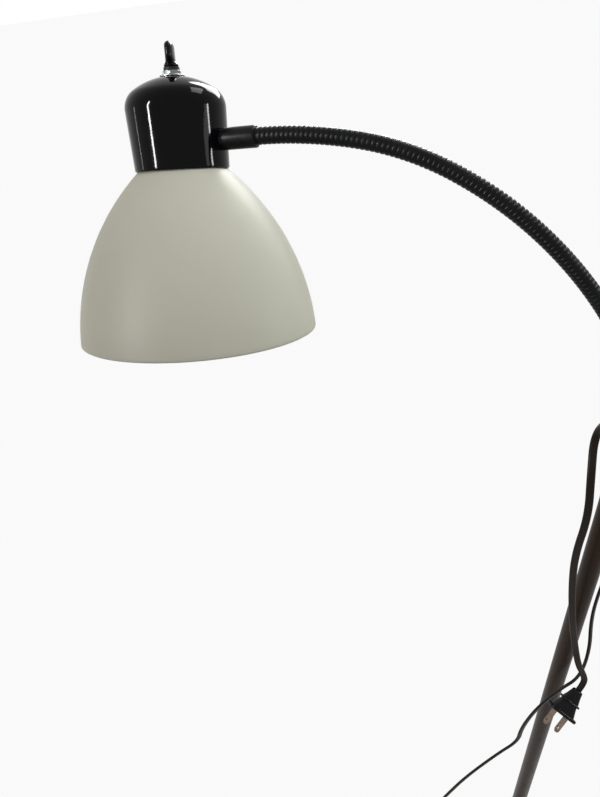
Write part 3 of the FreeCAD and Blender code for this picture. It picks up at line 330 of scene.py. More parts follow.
def frosted_glass():
    """Satin-etched opal glass: warm milky body, soft clouding, fine etched tooth, a duller rim."""
    finish = Finish("shade_frosted_opal_glass", IOR=1.45, Specular_IOR_Level=0.1,
                    Subsurface_Weight=0.35, Subsurface_Scale=0.012,
                    Subsurface_Radius=(1.0, 0.95, 0.8))
    where = finish.place()
    clouds = finish.noise(where, 9, 4)
    fine = finish.noise(where, 70, 4)
    smudge = finish.noise(finish.place((26, 26, 9)), 1.0, 4).between(0.55, 0.8)
    tooth = finish.noise(where, 2600, 2)
    rim = finish.attribute("rim")
    colour = finish.mix(clouds * 0.7 + fine * 0.3, (0.66, 0.645, 0.53, 1), (0.725, 0.715, 0.6, 1))
    colour = finish.mix(rim * 0.3, colour, (0.60, 0.57, 0.47, 1))
    return finish.link(Base_Color=colour, Roughness=0.46 + smudge * 0.12 - rim * 0.1,
                       Normal=finish.bump(tooth, 0.00005, 0.4))


def vinyl(name, low, high, gloss, ribbed=0.0):
    """Moulded or extruded vinyl: mottled sheen, chalky scuffs and a faint drag along its length."""
    finish = Finish(name, IOR=1.5, Specular_IOR_Level=0.1)
    where = finish.place()
    mottle = finish.noise(where, 120, 4)
    scuffs = finish.noise(where, 520, 3).between(0.62, 0.74)
    colour = finish.mix(mottle, low, high)
    colour = finish.mix(scuffs * 0.4, colour, tuple(2.4 * c for c in high[:3]) + (1,))
    height = mottle * 0.6 + finish.noise(where, 1900, 2) * 0.4
    return finish.link(Base_Color=colour, Roughness=gloss + mottle * 0.14 + scuffs * 0.18,
                       Normal=finish.bump(height, 0.00012, 0.35))


def plated(name, bright, dull, gloss, metal=1.0):
    """Plated or bare metal: brushed drag, clouded tarnish and pin-prick spots."""
    finish = Finish(name)
    where = finish.place()
    drag = finish.noise(finish.place((900, 900, 120)), 1.0, 3)
    cloud = finish.noise(where, 160, 4).between(0.4, 0.75)
    spots = finish.noise(where, 1300, 2).between(0.7, 0.76)
    colour = finish.mix(cloud * 0.8, bright, dull)
    colour = finish.mix(spots * 0.7, colour, tuple(0.35 * c for c in dull[:3]) + (1,))
    return finish.link(Base_Color=colour, Metallic=metal - spots * 0.5,
                       Roughness=gloss + cloud * 0.18 + drag * 0.06,
                       Normal=finish.bump(drag, 0.00005, 0.3))


def casting():
    """Rough black-painted cast iron: pitted sand texture with rust showing in the pits."""
    finish = Finish("weight_black_casting", Specular_IOR_Level=0.3)
    where = finish.place()
    sand = finish.noise(where, 380, 6, 0.7)
    pits = finish.noise(where, 150, 3).between(0.6, 0.72)
    colour = finish.mix(sand, (0.012, 0.012, 0.012, 1), (0.04, 0.038, 0.036, 1))
    colour = finish.mix(pits * 0.6, colour, (0.09, 0.035, 0.014, 1))
    return finish.link(Base_Color=colour, Roughness=0.62 + sand * 0.25,
                       Normal=finish.bump(sand - pits * 0.5, 0.0006, 0.6))


def felt():
    """Dense pressed felt: matted crossing fibres, lint and a soft uneven nap."""
    finish = Finish("pad_black_felt", Specular_IOR_Level=0.15, Sheen_Weight=0.4, Sheen_Roughness=0.5)
    fibres = finish.noise(finish.place((2600, 300, 600)), 1.0, 5) * 0.5
    fibres = fibres + finish.noise(finish.place((300, 2600, 600)), 1.0, 5) * 0.5
    lint = finish.noise(finish.place(), 480, 3).between(0.66, 0.75)
    colour = finish.mix(fibres, (0.012, 0.012, 0.014, 1), (0.06, 0.06, 0.064, 1))
    colour = finish.mix(lint * 0.4, colour, (0.2, 0.2, 0.19, 1))
    return finish.link(Base_Color=colour, Roughness=0.9 + lint * 0.08,
                       Normal=finish.bump(fibres, 0.0005, 0.7))


finishes = {
    "gloss_enamel": dark_gloss_enamel(),
    "neck_steel": neck_steel(),
    "collar_enamel": collar_enamel(),
    "pole_enamel": bronze_enamel("pole_bronze_enamel", (0.022, 0.0115, 0.0062, 1),
                                 (0.044, 0.024, 0.0135, 1), (420, 420, 9)),
    "base_enamel": bronze_enamel("base_bronze_enamel", (0.022, 0.0115, 0.0062, 1),
                                 (0.042, 0.023, 0.013, 1), (90, 90, 160)),
    "frosted_glass": frosted_glass(),
    "cord_vinyl": vinyl("cord_brown_vinyl", (0.008, 0.0048, 0.0034, 1), (0.021, 0.013, 0.009, 1), 0.36),
    "plug_vinyl": vinyl("plug_black_vinyl", (0.004, 0.0032, 0.004, 1), (0.010, 0.0085, 0.0095, 1), 0.24),
    "key_plastic": vinyl("key_black_plastic", (0.003, 0.003, 0.004, 1), (0.006, 0.006, 0.007, 1), 0.16),
    "switch_plastic": vinyl("switch_black_resin", (0.015, 0.015, 0.015, 1), (0.03, 0.03, 0.03, 1), 0.45),
    "holder_plastic": vinyl("holder_black_resin", (0.01, 0.01, 0.01, 1), (0.022, 0.021, 0.02, 1), 0.42),
    "wire_vinyl": vinyl("wire_grey_vinyl", (0.04, 0.035, 0.03, 1), (0.08, 0.07, 0.06, 1), 0.4),
    "bright_nickel": plated("nut_bright_nickel", (0.15, 0.165, 0.17, 1), (0.09, 0.1, 0.1, 1), 0.24),
    "zinc_steel": plated("fitting_zinc_steel", (0.3, 0.3, 0.29, 1), (0.18, 0.175, 0.16, 1), 0.3),
    "shell_brass": plated("shell_pressed_brass", (0.72, 0.5, 0.2, 1), (0.42, 0.27, 0.11, 1), 0.22),
    "blade_brass": plated("blade_tarnished_brass", (0.2, 0.15, 0.11, 1), (0.11, 0.075, 0.05, 1), 0.34),
    "cast_weight": casting(),
    "base_felt": felt(),
}
slot_of = {part["node"]: part["material_slot"] for part in frame["record"]["subparts"]}


def finished(piece, slot):
    """Give a piece the finish of a record slot."""
    piece.data.materials.clear()
    piece.data.materials.append(finishes[slot].material)
    return piece


for node, thing in frame["nodes"].items():
    material = finishes[slot_of[node]].material
    if thing.material_slots:
        for holder in thing.material_slots:
            holder.material = material
    else:
        thing.data.materials.append(material)


def dress(piece, body, slot, *nodes):
    """Finish a piece, let it ride on its body and stand for its CAD nodes."""
    finished(piece, slot)
    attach(piece, body)
    if nodes:
        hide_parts(*nodes)
    return piece


# ---------------------------------------------------------------- base and pole

HUB = 34.0
JOINT = 520.0
POLE_TOP = 1119.5
NECK_FOOT = 1123.0
COVER_WALL = 1.2


def base_pieces():
    """The spun cover with its rolled shoulder and swept hub, and the ring at the pole's foot."""
    sweep = math.hypot(10, HUB - 26)
    outer = [*bow((125, 13), (118, 20), 7, 1, 12), *bow((27, 26), (17, HUB), sweep, -1, 16)]
    inner = [*bow((17, HUB - COVER_WALL), (27, 24.8), sweep, 1, 16),
             *bow((118, 18.8), (123.8, 13), 5.8, -1, 12)]
    profile = [(123.9, 0.9), (124.4, 0.8), (124.9, 0.9), *outer, (8.4, HUB), (8.4, HUB - COVER_WALL), *inner]
    cover = turned("base_spun_cover", profile, sides=160, sharp=50)
    dress(cover, "stand", "base_enamel", "base_cover")
    ring = softened([(8.15, HUB), (13, HUB), (13, HUB + 3.4, 0.6), (10.6, HUB + 5.2, 2.5),
                     (9.6, HUB + 11, 0.7), (8.15, HUB + 11)])
    dress(turned("pole_foot_collar", ring), "stand", "pole_enamel", "pole_foot_ring")


def pole_pieces():
    """Two drawn tubes with rounded lips, the beaded ring between them and the cap on top."""
    for name, node, low, high in (("pole_tube_lower", "pole_lower", HUB, JOINT),
                                  ("pole_tube_upper", "pole_upper", JOINT + 3, POLE_TOP)):
        wall = softened([(7, low), (8, low, 0.25), (8, high, 0.25), (7, high)], closed=True)
        dress(turned(name, wall), "stand", "pole_enamel", node)
    bead = softened([(7.0, JOINT), (8.5, JOINT, 0.9), (8.5, JOINT + 3, 0.9), (7.0, JOINT + 3)],
                    closed=True)
    dress(turned("pole_joint_bead", bead), "stand", "pole_enamel")
    cap = softened([(4.9, POLE_TOP - 2), (6.9, POLE_TOP - 2), (6.9, POLE_TOP), (8.7, POLE_TOP, 0.4),
                    (8.7, NECK_FOOT - 0.9, 0.5), (7.9, NECK_FOOT, 0.5), (4.9, NECK_FOOT)], closed=True)
    dress(turned("pole_top_cap_turned", cap), "stand", "pole_enamel")


base_pieces()
pole_pieces()

# ---------------------------------------------------------------- gooseneck

NECK_START = 1149.0
LINK = 59.6
TURNS = np.radians([18.1, 18.2, 12.2, 13.2, 19.0, 12.3])
PITCH = 3.0
CREST = 4.95
GROOVE = 0.5
SIDES = 40
ROWS_PER_TURN = 12
END_TUCK = 1.6
HINGE_REACH = 14.0
END_REACH = 1.4


def neck_line():
    """The hose's centreline: one arc per link, each starting along the last one's heading."""
    at = np.array([0.0, NECK_START])
    heading = math.pi / 2
    starts = [(at, heading)]
    for turn in TURNS:
        bend = LINK / turn
        centre = at + bend * np.array([-math.sin(heading), math.cos(heading)])
        heading += turn
        at = centre + bend * np.array([math.sin(heading), -math.cos(heading)])
        starts.append((at, heading))
    return starts


starts = neck_line()


def neck_point(stations):
    """Place and heading at stations along the hose, in the arm's plane of x, z."""
    stations = np.atleast_1d(np.asarray(stations, float))
    link = np.clip((stations // LINK).astype(int), 0, len(TURNS) - 1)
    link = np.where(stations > LINK * len(TURNS), len(TURNS), link)
    curve = np.append(TURNS / LINK, 0.0)[link]
    curve = np.where(stations < 0, 0.0, curve)
    origin = np.array([start[0] for start in starts])[link]
    heading = np.array([start[1] for start in starts])[link]
    run = stations - link * LINK
    swing = curve * run
    safe = np.where(np.abs(curve) < 1e-9, 1.0, curve)
    ahead = np.where(np.abs(curve) < 1e-9, run, np.sin(swing) / safe)
    aside = np.where(np.abs(curve) < 1e-9, 0.0, (1 - np.cos(swing)) / safe)
    along = np.stack([np.cos(heading), np.sin(heading)], axis=-1)
    left = np.stack([-np.sin(heading), np.cos(heading)], axis=-1)
    return origin + along * ahead[:, None] + left * aside[:, None], heading + swing


def hose(name, first, last):
    """Wound hose between two stations: radius = crest less a groove that runs round as a helix.
    The groove's depth is |2u - 1|^4 of the turn's phase u, so that each coil is a rounded lobe."""
    count = int(round((last - first) / PITCH * ROWS_PER_TURN)) + 1
    stations = np.linspace(first, last, count)
    angle = np.linspace(0, TAU, SIDES, endpoint=False)
    middle, heading = neck_point(stations)
    phase = (stations[:, None] / PITCH + angle / TAU) % 1.0
    lobe = 1 - np.abs(2 * phase - 1) ** 4
    radius = CREST - GROOVE * (1 - lobe)
    outward = np.stack([np.sin(heading), 0 * heading, -np.cos(heading)], axis=-1)
    spine = np.stack([middle[:, 0], 0 * heading, middle[:, 1]], axis=-1)
    grid = (spine[:, None, :] + radius[..., None] * (np.cos(angle)[None, :, None] * outward[:, None, :]
            + np.sin(angle)[None, :, None] * np.array([0.0, 1.0, 0.0])))
    piece = skin(name, grid, sharp=80)
    crest = np.append(lobe.ravel(), [0.0, 0.0]).astype(np.float32)
    piece.data.attributes.new("crest", "FLOAT", "POINT").data.foreach_set("value", crest)
    return finished(piece, "neck_steel")


def neck_pieces():
    """One stretch of hose across each hinge, from mid-link to mid-link."""
    for hinge in range(7):
        first = -END_TUCK if hinge == 0 else (hinge - 0.5) * LINK
        last = 6 * LINK + END_TUCK if hinge == 6 else (hinge + 0.5) * LINK
        piece = hose(f"gooseneck_hose_{hinge + 1}", first, last)
        back = END_REACH if hinge == 0 else HINGE_REACH
        onward = END_REACH if hinge == 6 else HINGE_REACH
        (before, after), _ = neck_point([hinge * LINK - back, hinge * LINK + onward])
        if hinge < 6:
            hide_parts(f"gooseneck_link_{hinge + 1}")
        before[0] * MM
        before[1] * MM
        after[0] * MM
        after[1] * MM
        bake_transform(piece)


neck_pieces()
foot = softened([(4.0, NECK_FOOT), (6.35, NECK_FOOT, 0.3), (6.35, NECK_START - 1.0, 0.9),
                 (4.5, NECK_START - 1.0), (4.3, NECK_START - 3)], closed=True)
dress(turned("neck_foot_ferrule", foot, sides=72), "stand", "collar_enamel", "neck_base_collar")

# ---------------------------------------------------------------- head

COLLAR_HEADING = math.radians(183.0)
HEAD_REACH = 53.2
ROLL = math.radians(17.3)
(neck_end, _) = starts[-1]
head_at = (neck_end[0] + HEAD_REACH * math.cos(COLLAR_HEADING), 0.0,
           neck_end[1] + HEAD_REACH * math.sin(COLLAR_HEADING))
back_along_collar = np.array([-math.cos(COLLAR_HEADING), 0.0, -math.sin(COLLAR_HEADING)])
upright = np.array([math.sin(COLLAR_HEADING), 0.0, -math.cos(COLLAR_HEADING)])
sideways = np.array([0.0, 1.0, 0.0])
head_up = math.cos(ROLL) * upright + math.sin(ROLL) * sideways
head_side = math.cos(ROLL) * sideways - math.sin(ROLL) * upright
head_place = placed(back_along_collar, head_side, head_up, head_at)
collar_place = placed(-head_up, head_side, back_along_collar, head_at)

MOUTH_RADIUS, MOUTH_LEVEL = 29.5, -15.6
SHOULDER_RADIUS, SHOULDER_LEVEL = 30.7, 19.0
CORNER = 12.5
CROWN_RISE = 18.0
SWITCH_HOLE = 5.1
SHADE_BOW = 155.0
SHADE_WALL = 3.0
AROUND = 180
WASHER = 0.8
KEY_STAND = 5.3
# the crown's arc meets the corner's arc on one tangent and rises by CROWN_RISE above the shoulder
CROWN = ((SHOULDER_RADIUS ** 2 - 2 * SHOULDER_RADIUS * CORNER + CROWN_RISE ** 2)
         / (2 * (CROWN_RISE - CORNER)))
CROWN_CENTRE = SHOULDER_LEVEL + CROWN_RISE - CROWN
DOME_TOP = CROWN_CENTRE + math.sqrt(CROWN ** 2 - SWITCH_HOLE ** 2)


def cup_profile():
    """The cup's closed wall: rolled mouth, tapered side, corner arc, crown arc, and back inside."""
    share = CROWN / (CROWN - CORNER)
    meeting = ((SHOULDER_RADIUS - CORNER) * share,
               CROWN_CENTRE + (SHOULDER_LEVEL - CROWN_CENTRE) * share)
    taper, height = SHOULDER_RADIUS - MOUTH_RADIUS, SHOULDER_LEVEL - MOUTH_LEVEL
    side = [(MOUTH_RADIUS + taper * t, MOUTH_LEVEL + height * t) for t in np.linspace(0.02, 0.98, 10)]
    outside = [*side, *bow((SHOULDER_RADIUS, SHOULDER_LEVEL), meeting, CORNER, 1, 24),
               *bow(meeting, (SWITCH_HOLE, DOME_TOP), CROWN, 1, 24)[1:]]
    outside = np.array(outside)
    ahead = np.gradient(outside, axis=0)
    ahead /= np.linalg.norm(ahead, axis=1)[:, None]
    inside = outside + np.stack([-ahead[:, 1], ahead[:, 0]], axis=-1)
    inside[-1, 0] = SWITCH_HOLE
    mouth = [(28.6, -15.75), (28.85, -15.95), (29.15, -15.95), (29.4, -15.75)]
    return np.vstack([mouth, outside, inside[::-1]])


def shade_profile():
    """The bell's closed wall: flat fitter, rounded shoulder, one long arc, fire-polished rim."""
    neck, rim = (29.0, -16.8), (79.2, -119.2)
    outside = bow(neck, rim, SHADE_BOW, -1, 90)
    ahead = np.gradient(outside, axis=0)
    ahead /= np.linalg.norm(ahead, axis=1)[:, None]
    inside = outside + SHADE_WALL * np.stack([ahead[:, 1], -ahead[:, 0]], axis=-1)
    turn = np.linspace(0, math.pi, 12)[1:-1]
    middle = (outside[-1] + inside[-1]) / 2
    reach = (outside[-1] - inside[-1]) / 2
    drop = np.array([ahead[-1, 0], ahead[-1, 1]]) * 0.6
    lip = middle + np.cos(turn)[:, None] * reach + np.sin(turn)[:, None] * drop
    top = np.array([(18.2, -16.3), (18.3, -13.5), (25.0, -13.42), (25.7, -13.8)])
    inner_top = np.array([(23.5, -16.4)])
    profile = np.vstack([top, outside, lip, inside[::-1], inner_top])
    return profile, np.vstack([0 * top, 0 * outside, 0 * lip + 1, 0 * inside, 0 * inner_top])[:, 0]


def head_pieces():
    cup = turned("head_black_cup", cup_profile()[::-1], head_place, sides=AROUND, sharp=50)
    dress(cup, "head", "gloss_enamel", "head_cup")
    profile, rim = shade_profile()
    shade = turned("frosted_bell_shade", profile[::-1], head_place, sides=AROUND, sharp=60)
    rim_attribute = np.repeat(rim[::-1], AROUND).astype(np.float32)
    shade.data.attributes.new("rim", "FLOAT", "POINT").data.foreach_set("value", rim_attribute)
    dress(shade, "head", "frosted_glass", "glass_shade")
    barrel = softened([(4.0, 27.5), (6.35, 27.5), (6.35, 52.2, 0.9), (4.6, 52.2), (4.3, 50)],
                      closed=True)
    dress(turned("head_collar_barrel", barrel, collar_place, sides=72), "head", "collar_enamel",
          "head_collar")
    top = DOME_TOP + WASHER
    washer = softened([(4.9, DOME_TOP), (7.6, DOME_TOP, 0.2), (7.6, top, 0.3), (4.9, top)],
                      closed=True)
    dress(turned("switch_dished_washer", washer, head_place), "head", "zinc_steel", "switch_washer")
    hexagon_nut(top)
    switch_lever(DOME_TOP + KEY_STAND)


def hexagon_nut(level):
    """The nut: six flats cut by a cone, so that each corner is chamfered and each flat has a bow."""
    count = 96
    angle = np.linspace(0, TAU, count, endpoint=False)
    from_flat = (angle + math.pi / 6) % (math.pi / 3) - math.pi / 6
    flat = 5.2 / np.cos(from_flat)
    rings = []
    for level_up, reach in ((0, 4.9), (0, 5.25), (0.4, 6.2), (1.9, 6.2), (2.3, 5.25), (2.3, 4.9)):
        radius = np.minimum(flat, reach)
        rings.append(np.stack([radius * np.cos(angle), radius * np.sin(angle),
                               0 * angle + level + level_up], axis=-1))
    piece = skin("switch_hexagon_nut", np.array(rings), along=True, sharp=28)
    piece.data.transform(head_place @ Matrix.Rotation(math.radians(20), 4, "Z"))
    dress(piece, "head", "bright_nickel", "switch_nut")


def switch_lever(base):
    """The key: superellipse rings that pinch from a round foot to a thin rounded paddle."""
    height = 13.4
    stations = [(0.0, 3.9, 3.9, 2.0), (0.25, 4.3, 4.3, 2.0), (0.9, 4.4, 4.4, 2.0), (1.4, 4.6, 4.1, 2.0),
                (2.4, 5.2, 3.2, 2.2), (3.4, 6.0, 2.85, 2.4), (4.6, 6.8, 2.7, 2.6)]
    for t in np.linspace(0.0, 1.0, 14):
        rise = 5.6 + (height - 5.6) * math.sin(t * math.pi / 2)
        round_off = math.sqrt(max(1 - ((rise - 8.6) / (height - 8.6)) ** 2, 0.0)) if rise > 8.6 else 1.0
        thin = math.sqrt(max(1 - ((rise - 10.8) / (height - 10.8)) ** 2, 0.0)) if rise > 10.8 else 1.0
        stations.append((rise, max(7.25 * (0.35 + 0.65 * round_off), 0.3), max(2.6 * thin, 0.12), 2.6))
    turn = Matrix.Rotation(math.radians(20) + math.pi / 2, 4, "Z")
    lift = Matrix.Translation((0, 0, base * MM))
    piece = moulding("switch_turn_key", stations, head_place @ turn @ lift, sharp=60)
    dress(piece, "switch_key", "key_plastic", "switch_key")


head_pieces()

# ---------------------------------------------------------------- cord and plug

CORD_ROUTE = [
    (-0.1325, -0.0765, 0.0072),
    (-0.1628, -0.0940, 0.0072),
    (-0.1889, -0.1148, 0.0200),
    (-0.2007, -0.1263, 0.0620),
    (-0.2028, -0.1287, 0.1220),
    (-0.1993, -0.1208, 0.1960),
    (-0.1902, -0.1086, 0.2720),
    (-0.1761, -0.0970, 0.3480),
    (-0.1592, -0.0862, 0.4240),
    (-0.1378, -0.0773, 0.4980),
    (-0.1160, -0.0670, 0.5680),
    (-0.0930, -0.0570, 0.6280),
    (-0.0740, -0.0500, 0.6780),
    (-0.0440, -0.0380, 0.7310),
    (-0.0260, -0.0310, 0.7560),
    (-0.0260, -0.0310, 0.7860),
    (-0.0170, -0.0280, 0.8260),
    (-0.0010, -0.0220, 0.8600),
    (0.0160, -0.0110, 0.8700),
    (0.0220, 0.0060, 0.8920),
    (0.0170, 0.0140, 0.9300),
    (0.0155, 0.0125, 0.9750),
    (0.0175, 0.0110, 1.0300),
    (0.0155, 0.0130, 1.0850),
    (0.0160, 0.0115, 1.1280),
    (0.0070, 0.0190, 1.1520),
    (-0.0110, 0.0190, 1.1600),
    (-0.0220, 0.0020, 1.1590),
    (-0.0220, -0.0190, 1.1400),
    (-0.0180, -0.0250, 1.1050),
    (-0.0200, -0.0260, 1.0620),
    (-0.0150, -0.0240, 1.0180),
    (-0.0070, -0.0230, 0.9720),
    (0.0010, -0.0200, 0.9350),
    (0.0080, -0.0210, 0.9080),
    (0.0155, -0.0195, 0.8910),
    (0.0185, -0.0200, 0.8800),
    (0.0140, -0.0250, 0.8720)]

CORD_WIDTH = 5.6
CORD_THICKNESS = 2.9
PLUG_ALONG = np.array([-0.499, -0.655, -0.564])
PLUG_WIDE = np.array([0.815, -0.137, -0.564])


def route_line():
    """Points along the cord, read from a smooth spline that has the route as its control points."""
    curve = bpy.data.curves.new("cord_route", "CURVE")
    curve.dimensions = "3D"
    curve.resolution_u = 24
    spline = curve.splines.new("NURBS")
    spline.points.add(len(CORD_ROUTE) - 1)
    spline.points.foreach_set("co", np.column_stack([CORD_ROUTE, np.ones(len(CORD_ROUTE))]).ravel())
    spline.order_u = 3
    spline.use_endpoint_u = True
    holder = bpy.data.objects.new("cord_route", curve)
    mesh = bpy.data.meshes.new_from_object(holder)
    points = np.empty(len(mesh.vertices) * 3)
    mesh.vertices.foreach_get("co", points)
    bpy.data.objects.remove(holder)
    bpy.data.curves.remove(curve)
    bpy.data.meshes.remove(mesh)
    return points.reshape(-1, 3) / MM


def ribbon_frames(line, first_side, last_side):
    """Sides of a ribbon carried along a line without twist, then turned evenly so that the last
    side faces the way that it is asked to."""
    ahead = np.gradient(line, axis=0)
    ahead /= np.linalg.norm(ahead, axis=1)[:, None]
    side = np.array(first_side, float)
    sides = []
    for direction in ahead:
        side = side - (side @ direction) * direction
        side = side / np.linalg.norm(side)
        sides.append(side)
    sides = np.array(sides)
    across = np.cross(ahead, sides)
    wanted = np.array(last_side, float)
    error = math.atan2(wanted @ across[-1], wanted @ sides[-1])
    error = (error + math.pi / 2) % math.pi - math.pi / 2
    steps = np.append(0, np.cumsum(np.linalg.norm(np.diff(line, axis=0), axis=1)))
    twist = error * (steps / steps[-1])[:, None]
    return np.cos(twist) * sides + np.sin(twist) * across, ahead


def flat_cord():
    """Twin flat cord: two round cores side by side with a groove between them on each face.
    Half height = 1.45 |sin|^0.75, pinched by 0.3 exp(-(x/0.75)^2) at the groove."""
    line = route_line()
    side, ahead = ribbon_frames(line, (0.0, 0.0, 1.0), PLUG_WIDE)
    up = np.cross(ahead, side)
    angle = np.linspace(0, TAU, 20, endpoint=False)
    cosine, sine = np.cos(angle), np.sin(angle)
    x = CORD_WIDTH / 2 * np.sign(cosine) * np.abs(cosine) ** 0.85
    y = CORD_THICKNESS / 2 * np.sign(sine) * np.abs(sine) ** 0.75
    y = y * (1 - 0.34 * np.exp(-(x / 0.75) ** 2))
    grid = line[:, None, :] + x[None, :, None] * side[:, None, :] + y[None, :, None] * up[:, None, :]
    piece = skin("mains_flat_cord", grid, sharp=60)
    length = np.linalg.norm(np.diff(line, axis=0), axis=1).sum() * MM
    return finished(piece, "cord_vinyl"), line, length


def plug_pieces():
    """The moulded plug: pinched back, finger stop, swelling front and the face the blades stand in."""
    stations = [(-0.2, 3.2, 2.4, 2.2), (0.0, 4.0, 3.0, 2.4), (0.6, 4.5, 3.5, 2.6), (3.0, 4.9, 3.8, 2.8),
                (7.0, 6.0, 4.1, 3.0), (10.5, 7.2, 4.4, 3.4), (11.9, 7.5, 4.5, 3.6), (12.0, 8.9, 5.5, 3.8),
                (12.3, 9.2, 5.75, 4.0), (13.5, 9.2, 5.75, 4.0), (13.8, 8.9, 5.5, 3.8), (13.9, 7.5, 4.5, 3.6),
                (17.0, 8.6, 4.8, 3.6), (21.0, 10.2, 5.2, 3.8), (23.8, 11.2, 5.6, 4.0), (24.0, 13.4, 6.6, 4.4),
                (24.4, 14.0, 7.0, 4.8), (26.4, 14.0, 7.0, 4.8), (26.9, 13.5, 6.6, 4.6),
                (27.0, 12.9, 6.1, 4.4)]
    place = placed(PLUG_WIDE, np.cross(PLUG_ALONG, PLUG_WIDE), PLUG_ALONG,
                   np.array(CORD_ROUTE[-1]) / MM)
    body = moulding("moulded_plug", stations, place, count=64, sharp=32)
    dress(body, "stand", "plug_vinyl", "plug_body")
    return body


def relief_piece():
    """The strain relief: two flanges gripping the rim and a tapered tail with six notches."""
    tail = []
    for step in range(6):
        reach = 128.4 + step * 3.7
        wide = 5.0 - 1.5 * (reach - 127.3) / 25.7
        tail += [(wide, reach), (wide - 0.08, reach + 2.3), (wide - 0.9, reach + 2.5),
                 (wide - 1.0, reach + 3.4)]
    profile = [(0, 121.6), (6.2, 121.6), (6.4, 121.8), (6.4, 123.3), (4.8, 123.5), (4.8, 125.3), (6.2, 125.3),
               (6.4, 125.5), (6.4, 127.1), (6.2, 127.3), (5.0, 127.4), *tail, (3.5, 150.8), (3.5, 152.7),
               (3.2, 153), (0, 153)]
    exit_way = np.array([math.cos(math.radians(210)), math.sin(math.radians(210)), 0.0])
    place = placed((0, 0, -1), np.cross(exit_way, (0, 0, -1)), exit_way, (0, 0, 7.2))
    piece = turned("cord_notched_relief", profile, place, sides=48, closed=False, sharp=40)
    dress(piece, "stand", "plug_vinyl", "cord_strain_relief")


plug = plug_pieces()
relief_piece()
cord, cord_line, cord_length = flat_cord()
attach(cord, "stand")
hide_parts("mains_cord")
(cord_line * MM).tolist()

# ---------------------------------------------------------------- floor, light and camera


PLAIN_SHARE = 0.95
WORLD_FILL = 0.33
LIGHT_REACH = 1.6


def seen_rays(tree):
    """1 for rays from the camera, from gloss and through glass, and 0 for those that carry light."""
    rays = tree.nodes.new("ShaderNodeLightPath")
    total = rays.outputs["Is Camera Ray"]
    for kind in ("Is Glossy Ray", "Is Transmission Ray"):
        either = tree.nodes.new("ShaderNodeMath")
        either.operation = "MAXIMUM"
        tree.links.new(total, either.inputs[0])
        tree.links.new(rays.outputs[kind], either.inputs[1])
        total = either.outputs[0]
    return total


def backdrop_finish(name):
    """A pale surface: mostly plain white to the eye and to reflections, and lit for the rest."""
    material = bpy.data.materials.new(name)
    material.use_nodes = True
    tree = material.node_tree
    tree.nodes.clear()
    share = tree.nodes.new("ShaderNodeMath")
    share.operation = "MULTIPLY"
    share.inputs[1].default_value = PLAIN_SHARE
    tree.links.new(seen_rays(tree), share.inputs[0])
    lit = tree.nodes.new("ShaderNodeBsdfDiffuse")
    lit.inputs["Color"].default_value = (0.85, 0.85, 0.85, 1)
    plain = tree.nodes.new("ShaderNodeEmission")
    plain.inputs["Color"].default_value = (1, 1, 1, 1)
    mix = tree.nodes.new("ShaderNodeMixShader")
    tree.links.new(share.outputs[0], mix.inputs[0])
    tree.links.new(lit.outputs[0], mix.inputs[1])
    tree.links.new(plain.outputs[0], mix.inputs[2])
    output = tree.nodes.new("ShaderNodeOutputMaterial")
    tree.links.new(mix.outputs[0], output.inputs["Surface"])
    return material


def floor():
    """A flat round floor, level with the felt's underside."""
    angle = np.linspace(0, TAU, 96, endpoint=False)
    rim = np.stack([np.cos(angle), np.sin(angle), 0 * angle], axis=-1)
    grid = rim * np.array([30000.0, 8000.0, 10.0])[:, None, None]
    piece = skin("pale_floor", grid)
    piece.data.materials.append(backdrop_finish("pale_floor"))


def world():
    """White to the eye and to reflections, and a soft grey fill as a light."""
    made = bpy.data.worlds.new("studio")
    made.use_nodes = True
    tree = made.node_tree
    tree.nodes.clear()
    level = tree.nodes.new("ShaderNodeMapRange")
    level.inputs["To Min"].default_value = WORLD_FILL
    level.inputs["To Max"].default_value = 1.0
    tree.links.new(seen_rays(tree), level.inputs["Value"])
    light = tree.nodes.new("ShaderNodeBackground")
    light.inputs["Color"].default_value = (1, 1, 1, 1)
    tree.links.new(level.outputs[0], light.inputs["Strength"])
    output = tree.nodes.new("ShaderNodeOutputWorld")
    tree.links.new(light.outputs[0], output.inputs["Surface"])
    bpy.context.scene.world = made


RIGHT = np.array([0.95556, 0.2948, 0.0])
NEARER = np.array([0.2948, -0.95556, 0.0])
HEAD = np.array([-0.29, 0.0, 1.33])


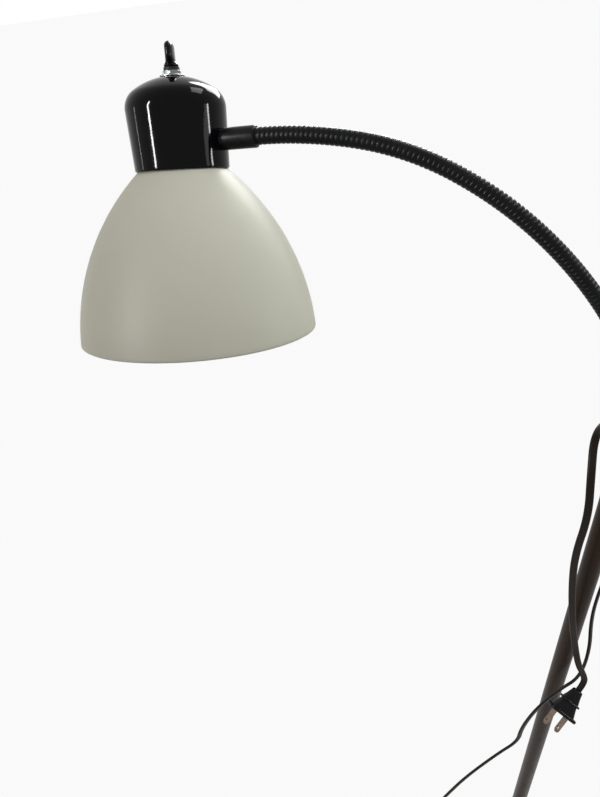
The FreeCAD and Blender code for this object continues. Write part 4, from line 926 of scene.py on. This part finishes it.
def area_light(name, azimuth, elevation, width, height, power, colour=(1, 1, 1), sheen=True, wash=True):
    """A rectangular light facing the head from LIGHT_REACH: its azimuth runs from the camera's side
    round to the picture's right. sheen lets it show in gloss, wash lets it light matt faces."""
    turn, lift = math.radians(azimuth), math.radians(elevation)
    away = math.cos(lift) * (math.cos(turn) * NEARER + math.sin(turn) * RIGHT) + [0, 0, math.sin(lift)]
    data = bpy.data.lights.new(name, "AREA")
    data.shape = "RECTANGLE"
    data.size = width
    data.size_y = height
    data.energy = power
    data.color = colour
    lamp = bpy.data.objects.new(name, data)
    right = np.cross((0, 0, 1), away)
    lamp.matrix_world = placed(right, np.cross(away, right), away, (HEAD + LIGHT_REACH * away) / MM)
    lamp.visible_glossy = sheen
    lamp.visible_diffuse = wash
    bpy.context.scene.collection.objects.link(lamp)
    return lamp


def lighting():
    """Soft washes for the matt glass and narrow panels whose images lie on the glossy cup."""
    area_light("wash_front_left", -45, 10, 0.8, 0.8, 4.8, (1.0, 0.95, 0.88), sheen=False)
    area_light("wash_left", -90, 5, 0.8, 0.8, 2.8, (1.0, 0.95, 0.88), sheen=False)
    area_light("wash_right", 75, 40, 0.6, 0.6, 10.5, (0.98, 1.0, 0.97), sheen=False)
    area_light("wash_back_right", 125, 25, 0.8, 0.8, 6.0, (0.98, 1.0, 0.97), sheen=False)
    area_light("sheen_strip_left", -54, 20, 0.09, 0.75, 42, wash=False)
    area_light("sheen_strip_far_left", -95, 2, 0.035, 0.4, 0.8, wash=False)
    area_light("sheen_right", 87, -1, 0.1, 0.34, 7.0, wash=False)
    area_light("sheen_right_soft", 78, 0, 0.42, 0.34, 2.2, wash=False)
    area_light("sheen_crown", 157, 20, 1.0, 0.75, 42.0, wash=False)
    area_light("sheen_crown_soft", 120, 50, 0.8, 0.5, 13.0, wash=False)


def camera():
    """The photograph's viewpoint: its place, its three axes and its field of view."""
    data = bpy.data.cameras.new("view")
    data.sensor_fit = "AUTO"
    data.sensor_width = 36.0
    data.lens = 600.0 * 36.0 / 797.0
    data.clip_start = 0.01
    thing = bpy.data.objects.new("view", data)
    thing.matrix_world = placed((0.95076, 0.29329, -0.1), (-0.10263, 0.60252, 0.79147),
                                (0.29238, -0.74224, 0.60298), (-97.0, -352.0, 1450.0))
    bpy.context.scene.collection.objects.link(thing)
    bpy.context.scene.camera = thing


floor()
world()
lighting()
camera()
bpy.context.scene.view_settings.view_transform = "Standard"
